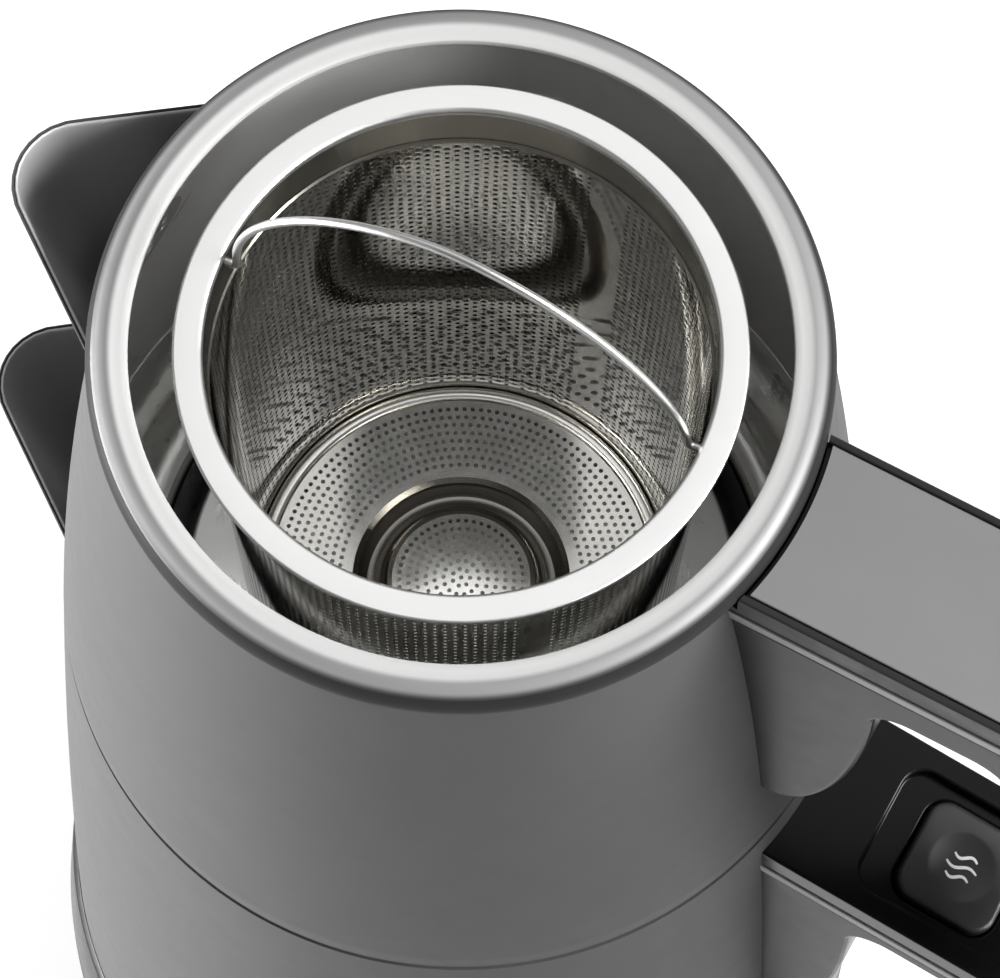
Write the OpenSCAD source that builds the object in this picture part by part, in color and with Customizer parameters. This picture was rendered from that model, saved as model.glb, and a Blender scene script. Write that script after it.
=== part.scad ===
// Two-tier electric tea maker: a power base, a kettle, a teapot that stacks on it and a tea strainer.
// Millimetres. +Z is up, z = 0 is the table, the handles point to +X and the spouts to -X.

/* [Bodies of revolution] */
// Height of the teapot's lip above the table
lip_top = 290; // [280:1:304]
// Outer radius of the teapot's rolled lip
lip_outer_r = 53.4; // [52.5:0.1:56]
// Radius of the opening inside the rolled lip
lip_open_r = 47.2; // [46.2:0.1:47.8]
// Radius of the teapot wall just below the lip
neck_r = 52.2; // [51:0.1:52.3]
// Height of the joint line between the kettle and the teapot
seam_z = 186; // [182:1:190]
// Radius of both vessels at the joint line
seam_r = 63.2; // [61:0.1:66]
// Height of the kettle wall's lower edge
wall_foot_z = 43; // [40:1:46]
// Radius of the kettle wall at its lower edge
wall_foot_r = 70.2; // [69:0.1:72]
// Outward swell of the teapot wall from a straight cone
teapot_swell = 1.2; // [0:0.1:2]
// Outward swell of the kettle wall from a straight cone
kettle_swell = 0.6; // [0:0.1:1.5]
// Thickness of the vessel walls
wall = 1.2; // [0.8:0.1:1.6]

/* [Power base] */
// Largest radius of the power base and of the kettle's collar
base_r = 73.3; // [72.5:0.1:76]
// Height of the rubber feet under the base
foot_h = 2; // [1.5:0.5:3]
// Height of the base's outer top face
base_top = 18; // [16:1:18]
// Radius of the hub that plugs into the kettle
hub_r = 14; // [12:0.5:15]

/* [Strainer] */
// Inner radius of the strainer's flange and of its wall's top
basket_top_r = 36.7; // [36.2:0.1:38]
// Width of the strainer's flat flange
flange_w = 4.3; // [3.5:0.1:5]
// Inner radius of the strainer's wall at its foot
basket_foot_r = 32.6; // [31:0.1:34]
// How far the flange lies below the lip's top
flange_drop = 1.4; // [1:0.1:3]
// Thickness of the strainer's sheet
sheet = 0.6; // [0.5:0.1:0.8]
// Outer radius of the channel pressed into the strainer's bottom
moat_r = 16.7; // [15:0.1:18]
// Radius of the wire that the bail is bent from
wire_r = 0.65; // [0.6:0.05:1]
// How far the strainer stands turned about the pot's axis
basket_turn = 5.5; // [0:0.5:20]

/* [Handles] */
// Width of the teapot's handle
teapot_handle_w = 28.4; // [26:0.2:31]
// Width of the kettle's handle
kettle_handle_w = 29.6; // [28:0.2:32]
// Height of the teapot handle's top face
teapot_handle_z = 287; // [284:0.5:288]
// Distance from the axis to the back of the teapot's grip, at its bend
teapot_grip_x = 116; // [112:1:122]
// Distance from the axis to the back of the kettle's grip, at its bend
kettle_grip_x = 127; // [123:1:132]
// Downward slope of the kettle handle's top, in degrees
kettle_arm_slope = 10; // [6:1:12]
// Outward lean of the teapot's grip, in degrees
teapot_lean = 7.5; // [0:0.5:9]
// Outward lean of the kettle's grip, in degrees
kettle_lean = 3; // [0:0.5:5]

/* [Spouts] */
// Distance from the axis to the tip of the teapot's spout
teapot_spout_x = 73; // [70:0.5:78]
// Distance from the axis to the tip of the kettle's spout
kettle_spout_x = 84; // [81:0.5:88]
// Radius of the spouts' rounded noses
nose_r = 10.3; // [8:0.1:12]
// Height of each spout from its keel's foot to its rim
spout_h = 46; // [40:1:52]
// Half of the angle between a spout's two sides, seen from above
spout_half_angle = 36; // [30:1:40]

/* [Button] */
// Side of the square steam button
button_w = 17.4; // [15:0.2:18]
// Travel of the steam button
button_travel = 2; // [1:0.1:2.2]
// Distance from the axis to the middle of the button
button_x = 90.6; // [90:0.1:93]

/* [Hidden] */

$fn = 96;
eps = 0.01;
far = 400;

// Lip, neck and walls
lip_roll_r = 3.6;
lip_edge_t = 1.6;
lip_edge_drop = 0.3;
neck_z = lip_top - 6;
seam_gap = 0.6;
teapot_foot_z = seam_z + seam_gap;
wall_steps = 10;

// Floors and seats
seat_z = seam_z - 4.5;
seat_r = 52;
seat_t = 2.5;
pan_r = 57;
pan_t = 2;
teapot_floor_z = seat_z + pan_t;
kettle_floor_z = wall_foot_z + 1;
floor_t = 1.5;
collar_wall = 2;
collar_edge_r = 1.5;
collar_lap = 1.2;
collar_foot_z = base_top + 1;
platform_z = base_top + 2;
platform_r = base_r - 13.3;
cover_t = 2;
cover_screw_r = base_r - 7.4;
spreader_r = 50;
spreader_t = 4;
spreader_z = kettle_floor_z - floor_t + 1 - spreader_t;
element_r = 42;
element_tube_r = 3.3;
element_z = spreader_z - element_tube_r / 2;
connector_r = 22;
hub_top = platform_z + 11;
hub_gap = 1;
contact_groove = 9;
contact_t = 0.6;
ring_contact_r = hub_r - 3.2;
centre_contact_r = 3;
element_pin_r = 1.6;
element_pin_l = 8;
element_sweep = 300;

// Base
shell_t = 2;
bottom_plate_t = 2.5;
base_floor_z = foot_h + bottom_plate_t;
base_ceiling_z = platform_z - shell_t;
housing_wall = 4.5;
housing_foot_r = 3;
housing_brow_r = 2;
hub_wall = 2;
foot_r = 6;
foot_ring_r = base_r - 17.3;
base_screw_ring_r = foot_ring_r - 12;
inlet_z = 10;
inlet_r = 4.6;
inlet_bore_r = 3.3;
inlet_l = 9.6;
inlet_proud = 0.6;
inlet_collar = 0.7;

// Screws
screw_r = 1.5;
screw_head_r = 2.6;
screw_head_t = 1.1;
base_screw_l = 8;
cover_screw_l = 9;
sink_r = 3;
sink_t = 1.2;
boss_r = 3.6;
handle_screw_r = 1.7;
handle_screw_l = 10;
handle_screw_head_r = 3.2;
handle_screw_head_t = 1.45;

// Strainer
flange_r = basket_top_r + flange_w;
flange_z = lip_top - flange_drop;
flange_t = 0.9;
basket_plate_z = teapot_floor_z + 4.5;
disc_r = 12;
moat_depth = 3.4;
moat_flank = 1.2;
bead_r = 0.9;
bail_head_r = 1.1;
bail_head_t = 1;
bail_head_gap = 0.2;
pivot_z = flange_z - flange_t - bail_head_r - bail_head_gap;
bail_r = basket_top_r - 2.1;
bail_bend = 1.2;
bail_power = 1.11;
bail_skew = 3.2;
bail_steps = 48;
bail_sides = 12;
pivot_play = 0.08;

// Handle layers, counted inward from the top and back
frame_t = 5.6;
trim_t = 2.4;
teapot_arm_t = 18;
kettle_arm_t = 13;
grip_t = 21;
corner_r = 18;
trim_proud = 0.3;
plate_t = 1.6;
plate_rim = 1.3;
plate_gap = 0.9;
plate_foot_gap = 8;
teapot_grip_foot = seam_z + 12;
kettle_grip_foot = 62;
kettle_handle_z = seam_z - 7.5;
root_depth = 13.5;
teapot_root_x = 74.5;
teapot_root_foot = 209;
kettle_root_x = 79;
kettle_root_foot = 92;
teapot_root_neck = 6.5;
kettle_root_neck = 11;
gap_fillet = 6;
arm_bite = 12;
arc_steps = 8;

// Spouts
spout_sheet = 1;
keel_r = 2;
chin_drop = 14;
chin_share = 0.72;
teapot_rim_z = lip_top - 12;
kettle_rim_z = seam_z - 3;
teapot_port_r = 8;
kettle_port_r = 9;
port_drop = 16;
filter_t = 0.7;
filter_hole_r = 1;
filter_lap = 2;

// Button
recess_depth = 2.4;
recess_l = 30;
recess_w = 22;
recess_corner_r = 4;
recess_x0 = 76;
button_t = 3.4;
button_gap = 0.35;
button_sink = 0.6;
button_corner_r = 3.5;
dimple_r = 5.7;
dimple_depth = 0.7;
dimple_ball_r = (dimple_r * dimple_r + dimple_depth * dimple_depth) / (2 * dimple_depth);
stem_r = 2;
stem_l = 3;
spring_r = 3.2;
spring_wire_r = 0.35;
spring_turns = 4;
well_w = button_w + 2 * button_gap;
well_depth = frame_t + trim_t + 3.6;
spring_foot = -well_depth;
spring_top = -button_sink - button_t;
plunger_r = 1;
plunger_h = 1.1;
plunger_gap = 0.1;
switch_h = spring_top - button_travel - plunger_gap - plunger_h - spring_foot;
switch_l = 12;
switch_w = 3.6;
sensor_r = 2;
sensor_h = 2.2;
well_part_y = 6.2;

// ---- colours ----
satin_grey = [0.55, 0.56, 0.57];
steel = [0.78, 0.78, 0.77];
black_plastic = [0.09, 0.09, 0.1];
dark_gloss = [0.06, 0.06, 0.065];
rubber = [0.05, 0.05, 0.05];
brass = [0.72, 0.58, 0.3];
aluminium = [0.68, 0.69, 0.7];

// ---- vessel profiles ----
function mix(a, b, t) = a + (b - a) * t;
function swollen(r0, r1, swell, t) = mix(r0, r1, t) + 4 * swell * t * (1 - t);
function teapot_r(z) = swollen(seam_r, neck_r, teapot_swell, (z - seam_z) / (neck_z - seam_z));
function kettle_r(z) = swollen(wall_foot_r, seam_r, kettle_swell, (z - wall_foot_z) / (seam_z - wall_foot_z));
function arc(c, r, a0, a1, n = arc_steps) =
    [for (i = [0 : n]) let (a = mix(a0, a1, i / n)) [c[0] + r * cos(a), c[1] + r * sin(a)]];

module teapot_solid(inset = 0, z0 = teapot_foot_z, z1 = neck_z) {
    side = [for (i = [0 : wall_steps]) let (z = mix(z0, z1, i / wall_steps)) [teapot_r(z) - inset, z]];
    rotate_extrude() polygon(concat([[0, z0]], side, [[0, z1]]));
}

module kettle_solid(inset = 0, z0 = wall_foot_z, z1 = seam_z) {
    side = [for (i = [0 : wall_steps]) let (z = mix(z0, z1, i / wall_steps)) [kettle_r(z) - inset, z]];
    rotate_extrude() polygon(concat([[0, z0]], side, [[0, z1]]));
}

module ring(r_out, r_in, z0, z1) {
    translate([0, 0, z0]) difference() {
        cylinder(r = r_out, h = z1 - z0);
        translate([0, 0, -eps]) cylinder(r = r_in, h = z1 - z0 + 2 * eps);
    }
}

// A rod along X between two distances from the axis
module rod_x(x0, x1, r, z) {
    translate([min(x0, x1), 0, z]) rotate([0, 90, 0]) cylinder(r = r, h = abs(x1 - x0), $fn = 48);
}

module around(n, r, start = 45) {
    for (i = [0 : n - 1]) rotate([0, 0, start + i * 360 / n]) translate([r, 0, 0]) children();
}

// Screw that enters a cover's lower face at height z, and the hole it sits in
module cover_screw(z, shank_l) {
    translate([0, 0, z + sink_t - screw_head_t]) cylinder(r = screw_head_r, h = screw_head_t);
    translate([0, 0, z + sink_t]) cylinder(r = screw_r, h = shank_l);
}

module screw_sink(z) {
    translate([0, 0, z - eps]) cylinder(r = screw_r, h = 10);
    translate([0, 0, z - eps]) cylinder(r = sink_r, h = sink_t + eps);
}

// ---- power base ----
module base_housing() {
    color(black_plastic) difference() {
        rotate_extrude() polygon(concat(
            [[0, base_floor_z], [base_r - 2.5, base_floor_z]],
            arc([base_r - housing_foot_r, base_floor_z + housing_foot_r], housing_foot_r, -60, 0, 3),
            arc([base_r - housing_brow_r, base_top - housing_brow_r], housing_brow_r, 0, 90, 4),
            [[platform_r + 1, base_top], [platform_r, platform_z], [0, platform_z]]));
        rotate_extrude() polygon([
            [0, foot_h], [base_r - housing_wall - 1, foot_h],
            [base_r - housing_wall, base_floor_z + housing_foot_r],
            [base_r - housing_wall, base_top - shell_t],
            [platform_r - housing_foot_r, base_top - shell_t],
            [platform_r - housing_foot_r, base_ceiling_z], [0, base_ceiling_z]]);
        translate([0, 0, foot_h]) cylinder(r = hub_r + hub_wall, h = platform_z);
        rod_x(base_r - 10, base_r + 5, inlet_r, inlet_z);
    }
    color(black_plastic) around(4, base_screw_ring_r, 0)
        ring(boss_r, screw_r, base_floor_z, base_ceiling_z);
}

module base_bottom_plate() {
    color(black_plastic) difference() {
        translate([0, 0, foot_h]) cylinder(r = base_r - 3.6, h = bottom_plate_t);
        around(4, base_screw_ring_r, 0) screw_sink(foot_h);
    }
}

// Four feet at the rim and one under the hub, which takes the kettle's push
module base_feet() {
    color(rubber) {
        around(4, foot_ring_r) cylinder(r = foot_r, h = foot_h);
        cylinder(r = foot_r, h = foot_h);
    }
}

module base_screws() {
    color(steel) around(4, base_screw_ring_r, 0) cover_screw(foot_h, base_screw_l);
}

module base_connector() {
    color(black_plastic) difference() {
        union() {
            translate([0, 0, base_floor_z])
                cylinder(r = hub_r + hub_wall, h = platform_z - base_floor_z);
            translate([0, 0, platform_z - eps]) cylinder(r = hub_r, h = hub_top - platform_z);
        }
        ring(hub_r - 3, hub_r - 5.5, hub_top - contact_groove, hub_top + 1);
        translate([0, 0, hub_top - contact_groove]) cylinder(r = centre_contact_r, h = contact_groove + 1);
    }
}

module base_contacts() {
    color(brass) {
        ring(ring_contact_r, ring_contact_r - contact_t, hub_top - contact_groove, hub_top - 2);
        ring(centre_contact_r, centre_contact_r - contact_t, hub_top - contact_groove, hub_top - 2);
    }
}

module base_cord_inlet() {
    color(black_plastic) difference() {
        union() {
            rod_x(base_r + inlet_proud - inlet_l, base_r + inlet_proud, inlet_r, inlet_z);
            rod_x(base_r - housing_wall - 4, base_r - housing_wall - 0.8, inlet_r + inlet_collar, inlet_z);
        }
        rod_x(base_r - 12, base_r + 5, inlet_bore_r, inlet_z);
    }
}

// ---- kettle ----
module spout_port(r, z) {
    rod_x(-far / 4, -30, r, z);
}

module kettle_shell() {
    color(satin_grey) difference() {
        kettle_solid();
        kettle_solid(wall, wall_foot_z - eps, seam_z + eps);
        spout_port(kettle_port_r, kettle_rim_z - port_drop);
        handle_screw_holes(kettle_screw_zs(), true);
    }
}

module kettle_floor() {
    color(steel) intersection() {
        kettle_solid(wall, wall_foot_z - eps, seam_z);
        ring(far / 4, 0, kettle_floor_z - floor_t + 1, kettle_floor_z + 1);
    }
}

module kettle_rim_seat() {
    color(steel) intersection() {
        kettle_solid(wall, wall_foot_z - eps, seam_z);
        ring(far / 4, seat_r, seat_z - seat_t, seat_z);
    }
}

module kettle_collar() {
    inner_r = base_r - collar_edge_r - collar_wall;
    color(dark_gloss) difference() {
        rotate_extrude() polygon(concat(
            [[0, collar_foot_z], [base_r - collar_edge_r, collar_foot_z]],
            arc([base_r - collar_edge_r, collar_foot_z + collar_edge_r], collar_edge_r, -60, 0, 3),
            [[wall_foot_r + 0.9, wall_foot_z + 0.6], [wall_foot_r + 0.2, wall_foot_z + collar_lap],
            [0, wall_foot_z + collar_lap]]));
        kettle_solid(0, wall_foot_z, seam_z);
        rotate_extrude() polygon([[0, collar_foot_z - 1], [inner_r, collar_foot_z - 1],
            [inner_r, collar_foot_z + 3], [wall_foot_r - 3, wall_foot_z - 2],
            [wall_foot_r - 3, wall_foot_z + 2], [0, wall_foot_z + 2]]);
    }
    color(dark_gloss) around(3, cover_screw_r, 60)
        ring(boss_r, screw_r, platform_z + cover_t, wall_foot_z - 4);
}

module kettle_bottom_cover() {
    color(black_plastic) difference() {
        ring(base_r - collar_edge_r - collar_wall, connector_r, platform_z, platform_z + cover_t);
        around(3, cover_screw_r, 60) screw_sink(platform_z);
    }
}

module kettle_cover_screws() {
    color(steel) around(3, cover_screw_r, 60) cover_screw(platform_z, cover_screw_l);
}

module heat_spreader() {
    color(aluminium) difference() {
        translate([0, 0, spreader_z]) cylinder(r = spreader_r, h = spreader_t);
        heating_element_tube();
    }
}

module heating_element_tube() {
    translate([0, 0, element_z])
        rotate([0, 0, 180 - element_sweep / 2]) rotate_extrude(angle = element_sweep)
            translate([element_r, 0]) circle(r = element_tube_r, $fn = 48);
}

// The terminal pins stand a few degrees inside the tube's two ends
module heating_element() {
    color(steel) {
        heating_element_tube();
        for (side = [-1, 1]) rotate([0, 0, 180 + side * (element_sweep / 2 - 5)])
            translate([element_r, 0, element_z - element_pin_l])
                cylinder(r = element_pin_r, h = element_pin_l, $fn = 48);
    }
}

module kettle_connector() {
    color(black_plastic) difference() {
        translate([0, 0, platform_z + 0.3]) cylinder(r = connector_r, h = spreader_z - platform_z - 0.3);
        translate([0, 0, platform_z]) cylinder(r = hub_r + hub_gap, h = hub_top - platform_z + 0.6);
    }
}

// ---- handles: layered bars that bend from the arm into the grip ----
// Region between two depths inside the outer contour, seen from the side (x, z)
module bar_layer(centre, slope, lean, d0, d1, foot_z) {
    n = [sin(slope), cos(slope)];
    along = [-cos(slope), sin(slope)];
    arm_l = arm_length(centre, slope);
    r0 = corner_r - d0;
    r1 = corner_r - d1;
    polygon(concat(
        [centre + r0 * n + arm_l * along],
        arc(centre, r0, 90 - slope, lean),
        [grip_point(centre, r0, lean, foot_z), grip_point(centre, r1, lean, foot_z)],
        arc(centre, r1, lean, 90 - slope),
        [centre + r1 * n + arm_l * along]));
}

// Point at height z on a grip's face that lies r from the bend's centre
function grip_point(centre, r, lean, z) =
    [centre[0] + r / cos(lean) + (centre[1] - z) * tan(lean), z];

// Length of an arm, from the bend to a bite inside the vessel
function arm_length(centre, slope) = (centre[0] - neck_r + arm_bite) / cos(slope);

module side_extrude(w) {
    rotate([90, 0, 0]) translate([0, 0, -w / 2]) linear_extrude(w) children();
}

teapot_corner = [teapot_grip_x - corner_r, teapot_handle_z - corner_r];
kettle_corner = [kettle_grip_x - corner_r,
    kettle_handle_z - corner_r / cos(kettle_arm_slope)
        - (kettle_grip_x - corner_r - seam_r) * tan(kettle_arm_slope)];

// Load-bearing part of a handle, seen from the side: arm, grip, finger gap and root block with an
// elliptical lower edge, as one outline
module handle_inner(centre, slope, lean, arm_t, root_x, root_foot, root_neck, foot_z) {
    r0 = corner_r - frame_t - trim_t;
    n = [sin(slope), cos(slope)];
    under = centre + (corner_r - arm_t) * n;
    z_under = function (x) under[1] - (x - under[0]) * tan(slope);
    gap_x = root_x + gap_fillet;
    near_root = [gap_x, z_under(gap_x) - gap_fillet / cos(slope)];
    // Middle of the fillet between the arm's lower face and the grip's inner face
    a = corner_r - arm_t - gap_fillet;
    b = corner_r - grip_t - gap_fillet;
    near_grip = centre + [b * cos(slope) - a * sin(lean), a * cos(lean) - b * sin(slope)] / cos(slope + lean);
    root_mid = [root_x - root_depth, z_under(root_x) - root_neck];
    polygon(concat(
        [centre + r0 * n + arm_length(centre, slope) * [-cos(slope), sin(slope)]],
        arc(centre, r0, 90 - slope, lean),
        [grip_point(centre, r0, lean, foot_z), grip_point(centre, corner_r - grip_t, lean, foot_z)],
        arc(near_grip, gap_fillet, lean, 90 - slope),
        arc(near_root, gap_fillet, 90 - slope, 180),
        [for (i = [0 : 12]) let (t = 90 * i / 12)
            root_mid + [root_depth * cos(t), -(root_mid[1] - root_foot) * sin(t)]],
        [[root_mid[0] - 25, root_foot]]));
}

function teapot_screw_zs() = [268, 228];
function kettle_screw_zs() = [160, 118];

// Inner radius of the kettle or of the teapot
function inner_r(z, kettle) = (kettle ? kettle_r(z) : teapot_r(z)) - wall;

module handle_screw_holes(zs, kettle) {
    for (z = zs)
        rod_x(inner_r(z, kettle) - 3, inner_r(z, kettle) + handle_screw_l + 0.5, handle_screw_r, z);
}

module handle_screws(zs, kettle) {
    for (z = zs) {
        head = inner_r(z, kettle) - 0.55;
        rod_x(head - 0.05, head + 0.55 + handle_screw_l, handle_screw_r, z);
        rod_x(head - handle_screw_head_t, head, handle_screw_head_r, z);
    }
}

module kettle_handle_body() {
    color(dark_gloss) difference() {
        side_extrude(kettle_handle_w) handle_inner(kettle_corner, kettle_arm_slope, kettle_lean,
            kettle_arm_t, kettle_root_x, kettle_root_foot, kettle_root_neck, kettle_grip_foot);
        kettle_solid();
        handle_screw_holes(kettle_screw_zs(), true);
        button_well(well_depth);
    }
}

module kettle_handle_trim() {
    color(steel) difference() {
        side_extrude(kettle_handle_w + 2 * trim_proud)
            bar_layer(kettle_corner, kettle_arm_slope, kettle_lean, frame_t, frame_t + trim_t,
                kettle_grip_foot);
        kettle_solid();
        button_well(frame_t + trim_t + 1);
    }
}

module kettle_handle_top() {
    color(dark_gloss) difference() {
        side_extrude(kettle_handle_w)
            bar_layer(kettle_corner, kettle_arm_slope, kettle_lean, 0, frame_t, kettle_grip_foot);
        kettle_solid();
        arm_frame() translate([recess_x0 + recess_l / 2 - button_x, 0, -recess_depth / 2 + 1])
            rounded_block(recess_l, recess_w, recess_depth + 2, recess_corner_r);
        button_well(frame_t + 1);
    }
}

module kettle_handle_screws() {
    color(steel) handle_screws(kettle_screw_zs(), true);
}

// Local frame of the button: origin on the arm's top face, +Z square to it
module arm_frame() {
    n = [sin(kettle_arm_slope), cos(kettle_arm_slope)];
    top = kettle_corner + corner_r * n;
    x = button_x;
    z = top[1] - (x - top[0]) * tan(kettle_arm_slope);
    translate([x, 0, z]) rotate([0, kettle_arm_slope, 0]) children();
}

module rounded_block(l, w, h, r) {
    translate([0, 0, -h / 2]) linear_extrude(h) union() {
        square([l - 2 * r, w], center = true);
        square([l, w - 2 * r], center = true);
        for (sx = [-1, 1], sy = [-1, 1])
            translate([sx * (l / 2 - r), sy * (w / 2 - r)]) circle(r = r, $fn = 48);
    }
}

module button_well(depth) {
    arm_frame() translate([0, 0, -depth / 2])
        rounded_block(well_w, well_w, depth, button_corner_r + button_gap);
}

module steam_button() {
    color([0.17, 0.17, 0.18]) arm_frame() difference() {
        union() {
            translate([0, 0, -button_sink - button_t / 2])
                rounded_block(button_w, button_w, button_t, button_corner_r);
            translate([0, 0, spring_top - stem_l]) cylinder(r = stem_r, h = stem_l + eps, $fn = 48);
        }
        translate([0, 0, -button_sink - dimple_depth + dimple_ball_r]) sphere(r = dimple_ball_r);
    }
}

module button_spring() {
    turns = spring_turns;
    steps = 14;
    sides = 8;
    h = spring_top - spring_foot - 2 * spring_wire_r;
    n = turns * steps;
    pts = [for (i = [0 : n], j = [0 : sides - 1])
        let (a = 360 * i / steps, b = 360 * j / sides, rr = spring_r + spring_wire_r * cos(b))
        [rr * cos(a), rr * sin(a), spring_foot + spring_wire_r + h * i / n + spring_wire_r * sin(b)]];
    sides_f = [for (i = [0 : n - 1], j = [0 : sides - 1]) let (k = (j + 1) % sides)
        [i * sides + j, i * sides + k, (i + 1) * sides + k, (i + 1) * sides + j]];
    ends_f = [[for (j = [sides - 1 : -1 : 0]) j], [for (j = [0 : sides - 1]) n * sides + j]];
    color(steel) arm_frame() polyhedron(pts, concat(sides_f, ends_f), convexity = 4);
}

module button_switch() {
    color(black_plastic) arm_frame() {
        translate([0, well_part_y, spring_foot + switch_h / 2])
            cube([switch_l, switch_w, switch_h], center = true);
        translate([0, well_part_y, spring_foot + switch_h]) cylinder(r = plunger_r, h = plunger_h, $fn = 48);
    }
}

module boil_sensor() {
    color(aluminium) arm_frame()
        translate([0, -well_part_y, spring_foot]) cylinder(r = sensor_r, h = sensor_h, $fn = 48);
}

// ---- spouts ----
module spout_hull(tip_x, rim_z, foot_z, root_x, inset) {
    nr = nose_r - inset;
    nose_x = tip_x - nose_r;
    reach = nose_x - root_x;
    side = nose_r / cos(spout_half_angle) + reach * tan(spout_half_angle) - inset / cos(spout_half_angle);
    hull() {
        translate([-nose_x, 0, rim_z - 1]) cylinder(r = nr, h = 1 + inset, $fn = 32);
        translate([-root_x, 0, rim_z - 1]) linear_extrude(1 + inset) square([1, 2 * side], center = true);
        translate([-root_x, 0, foot_z + inset * 2]) sphere(r = keel_r, $fn = 32);
        translate([-nose_x + 3, 0, rim_z - chin_drop + inset]) sphere(r = nr * chin_share, $fn = 32);
    }
}

module kettle_spout() {
    root = kettle_r(kettle_rim_z) - 4;
    color(satin_grey) difference() {
        spout_hull(kettle_spout_x, kettle_rim_z, kettle_rim_z - spout_h, root, 0);
        spout_hull(kettle_spout_x, kettle_rim_z, kettle_rim_z - spout_h, root, spout_sheet);
        kettle_solid();
    }
}

module teapot_spout() {
    root = teapot_r(teapot_rim_z) - 4;
    color(satin_grey) difference() {
        spout_hull(teapot_spout_x, teapot_rim_z, teapot_rim_z - spout_h, root, 0);
        spout_hull(teapot_spout_x, teapot_rim_z, teapot_rim_z - spout_h, root, spout_sheet);
        teapot_solid();
    }
}

module filter_holes(z, pitch) {
    for (row = [-2 : 2], col = [-2 : 2])
        if (row * row + col * col < 7)
            translate([0, col * pitch, 0]) rod_x(-far / 4, -30, filter_hole_r, z + row * pitch);
}

module kettle_spout_filter() {
    z = kettle_rim_z - port_drop;
    color(steel) difference() {
        intersection() {
            kettle_solid(wall, wall_foot_z, seam_z - 1);
            rod_x(-far / 4, -30, kettle_port_r + filter_lap, z);
        }
        kettle_solid(wall + filter_t, wall_foot_z - eps, seam_z);
        filter_holes(z, 3.4);
    }
}

module teapot_spout_filter() {
    z = teapot_rim_z - port_drop;
    color(steel) difference() {
        intersection() {
            teapot_solid(wall);
            rod_x(-far / 4, -30, teapot_port_r + filter_lap, z);
        }
        teapot_solid(wall + filter_t);
        filter_holes(z, 3);
    }
}

// ---- teapot ----
module teapot_shell() {
    color(satin_grey) difference() {
        teapot_solid();
        teapot_solid(wall, teapot_foot_z - eps, neck_z + eps);
        spout_port(teapot_port_r, teapot_rim_z - port_drop);
        handle_screw_holes(teapot_screw_zs(), false);
    }
}

// Rolled ring on the shell's upper edge: a flat band inside, a round shoulder outside
module teapot_lip() {
    roll = [lip_outer_r - lip_roll_r, lip_top - lip_roll_r];
    tuck = -asin((roll[1] - neck_z) / lip_roll_r);
    color(satin_grey) rotate_extrude() polygon(concat(
        [[neck_r - wall, neck_z], [lip_open_r, lip_top - lip_edge_drop - lip_edge_t],
        [lip_open_r, lip_top - lip_edge_drop]],
        arc(roll, lip_roll_r, 90, tuck, 14)));
}

module teapot_floor() {
    ledge_z = teapot_foot_z + 0.6;
    color(steel) {
        translate([0, 0, seat_z]) cylinder(r = pan_r, h = pan_t);
        ring(pan_r, pan_r - pan_t, seat_z, ledge_z + pan_t);
        intersection() {
            teapot_solid(wall);
            ring(far / 4, pan_r - pan_t, ledge_z, ledge_z + pan_t);
        }
    }
}

module teapot_handle_body() {
    color(dark_gloss) difference() {
        side_extrude(teapot_handle_w) handle_inner(teapot_corner, 0, teapot_lean,
            teapot_arm_t, teapot_root_x, teapot_root_foot, teapot_root_neck, teapot_grip_foot);
        teapot_cut();
        handle_screw_holes(teapot_screw_zs(), false);
    }
}

// What the vessel takes out of its handle, with a gap between the lip and the piece
module teapot_cut(gap = 0.1) {
    teapot_solid();
    translate([0, 0, neck_z - 1]) cylinder(r = lip_outer_r + gap, h = 20);
}

module teapot_handle_trim() {
    color(steel) difference() {
        side_extrude(teapot_handle_w + 2 * trim_proud)
            bar_layer(teapot_corner, 0, teapot_lean, frame_t, frame_t + trim_t, teapot_grip_foot);
        teapot_cut();
    }
}

module teapot_handle_frame() {
    color(black_plastic) difference() {
        side_extrude(teapot_handle_w)
            bar_layer(teapot_corner, 0, teapot_lean, 0, frame_t, teapot_grip_foot);
        teapot_cut();
        teapot_plate_blank(0);
    }
}

module teapot_plate_blank(top) {
    side_extrude(teapot_handle_w - 2 * plate_rim)
        bar_layer(teapot_corner, 0, teapot_lean, -2 + top * 2, plate_t, teapot_grip_foot + plate_foot_gap);
}

module teapot_handle_plate() {
    color(satin_grey) difference() {
        teapot_plate_blank(1);
        teapot_cut(plate_gap);
    }
}

module teapot_handle_screws() {
    color(steel) handle_screws(teapot_screw_zs(), false);
}

// ---- strainer ----
function basket_r(z) = mix(basket_foot_r, basket_top_r, (z - teapot_floor_z) / (flange_z - teapot_floor_z));

module basket_wall() {
    h = flange_z - flange_t - teapot_floor_z;
    top = basket_r(flange_z - flange_t);
    color(steel) difference() {
        translate([0, 0, teapot_floor_z]) cylinder(r1 = basket_foot_r + sheet, r2 = top + sheet, h = h);
        translate([0, 0, teapot_floor_z - eps]) cylinder(r1 = basket_foot_r, r2 = top, h = h + 2 * eps);
        rotate([0, 0, basket_turn]) rod_x(-far / 4, far / 4, wire_r + pivot_play, pivot_z);
    }
}

module basket_flange() {
    color(steel) rotate_extrude() polygon(concat(
        [[basket_top_r, flange_z - flange_t]],
        arc([flange_r - flange_t / 2, flange_z - flange_t / 2], flange_t / 2, -90, 90, 6),
        [[basket_top_r, flange_z]]));
}

module basket_bottom() {
    z = basket_plate_z;
    r = basket_r(z) - 2 * bead_r;
    low = z - sheet;
    skew = 0.8 * sheet;
    color(steel) rotate_extrude() polygon([
        [0, z], [disc_r, z], [disc_r + moat_flank, z - moat_depth],
        [moat_r - moat_flank, z - moat_depth], [moat_r, z], [r, z],
        [r, low], [moat_r + skew, low], [moat_r - moat_flank + skew, low - moat_depth],
        [disc_r + moat_flank - skew, low - moat_depth], [disc_r - skew, low], [0, low]]);
}

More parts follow.
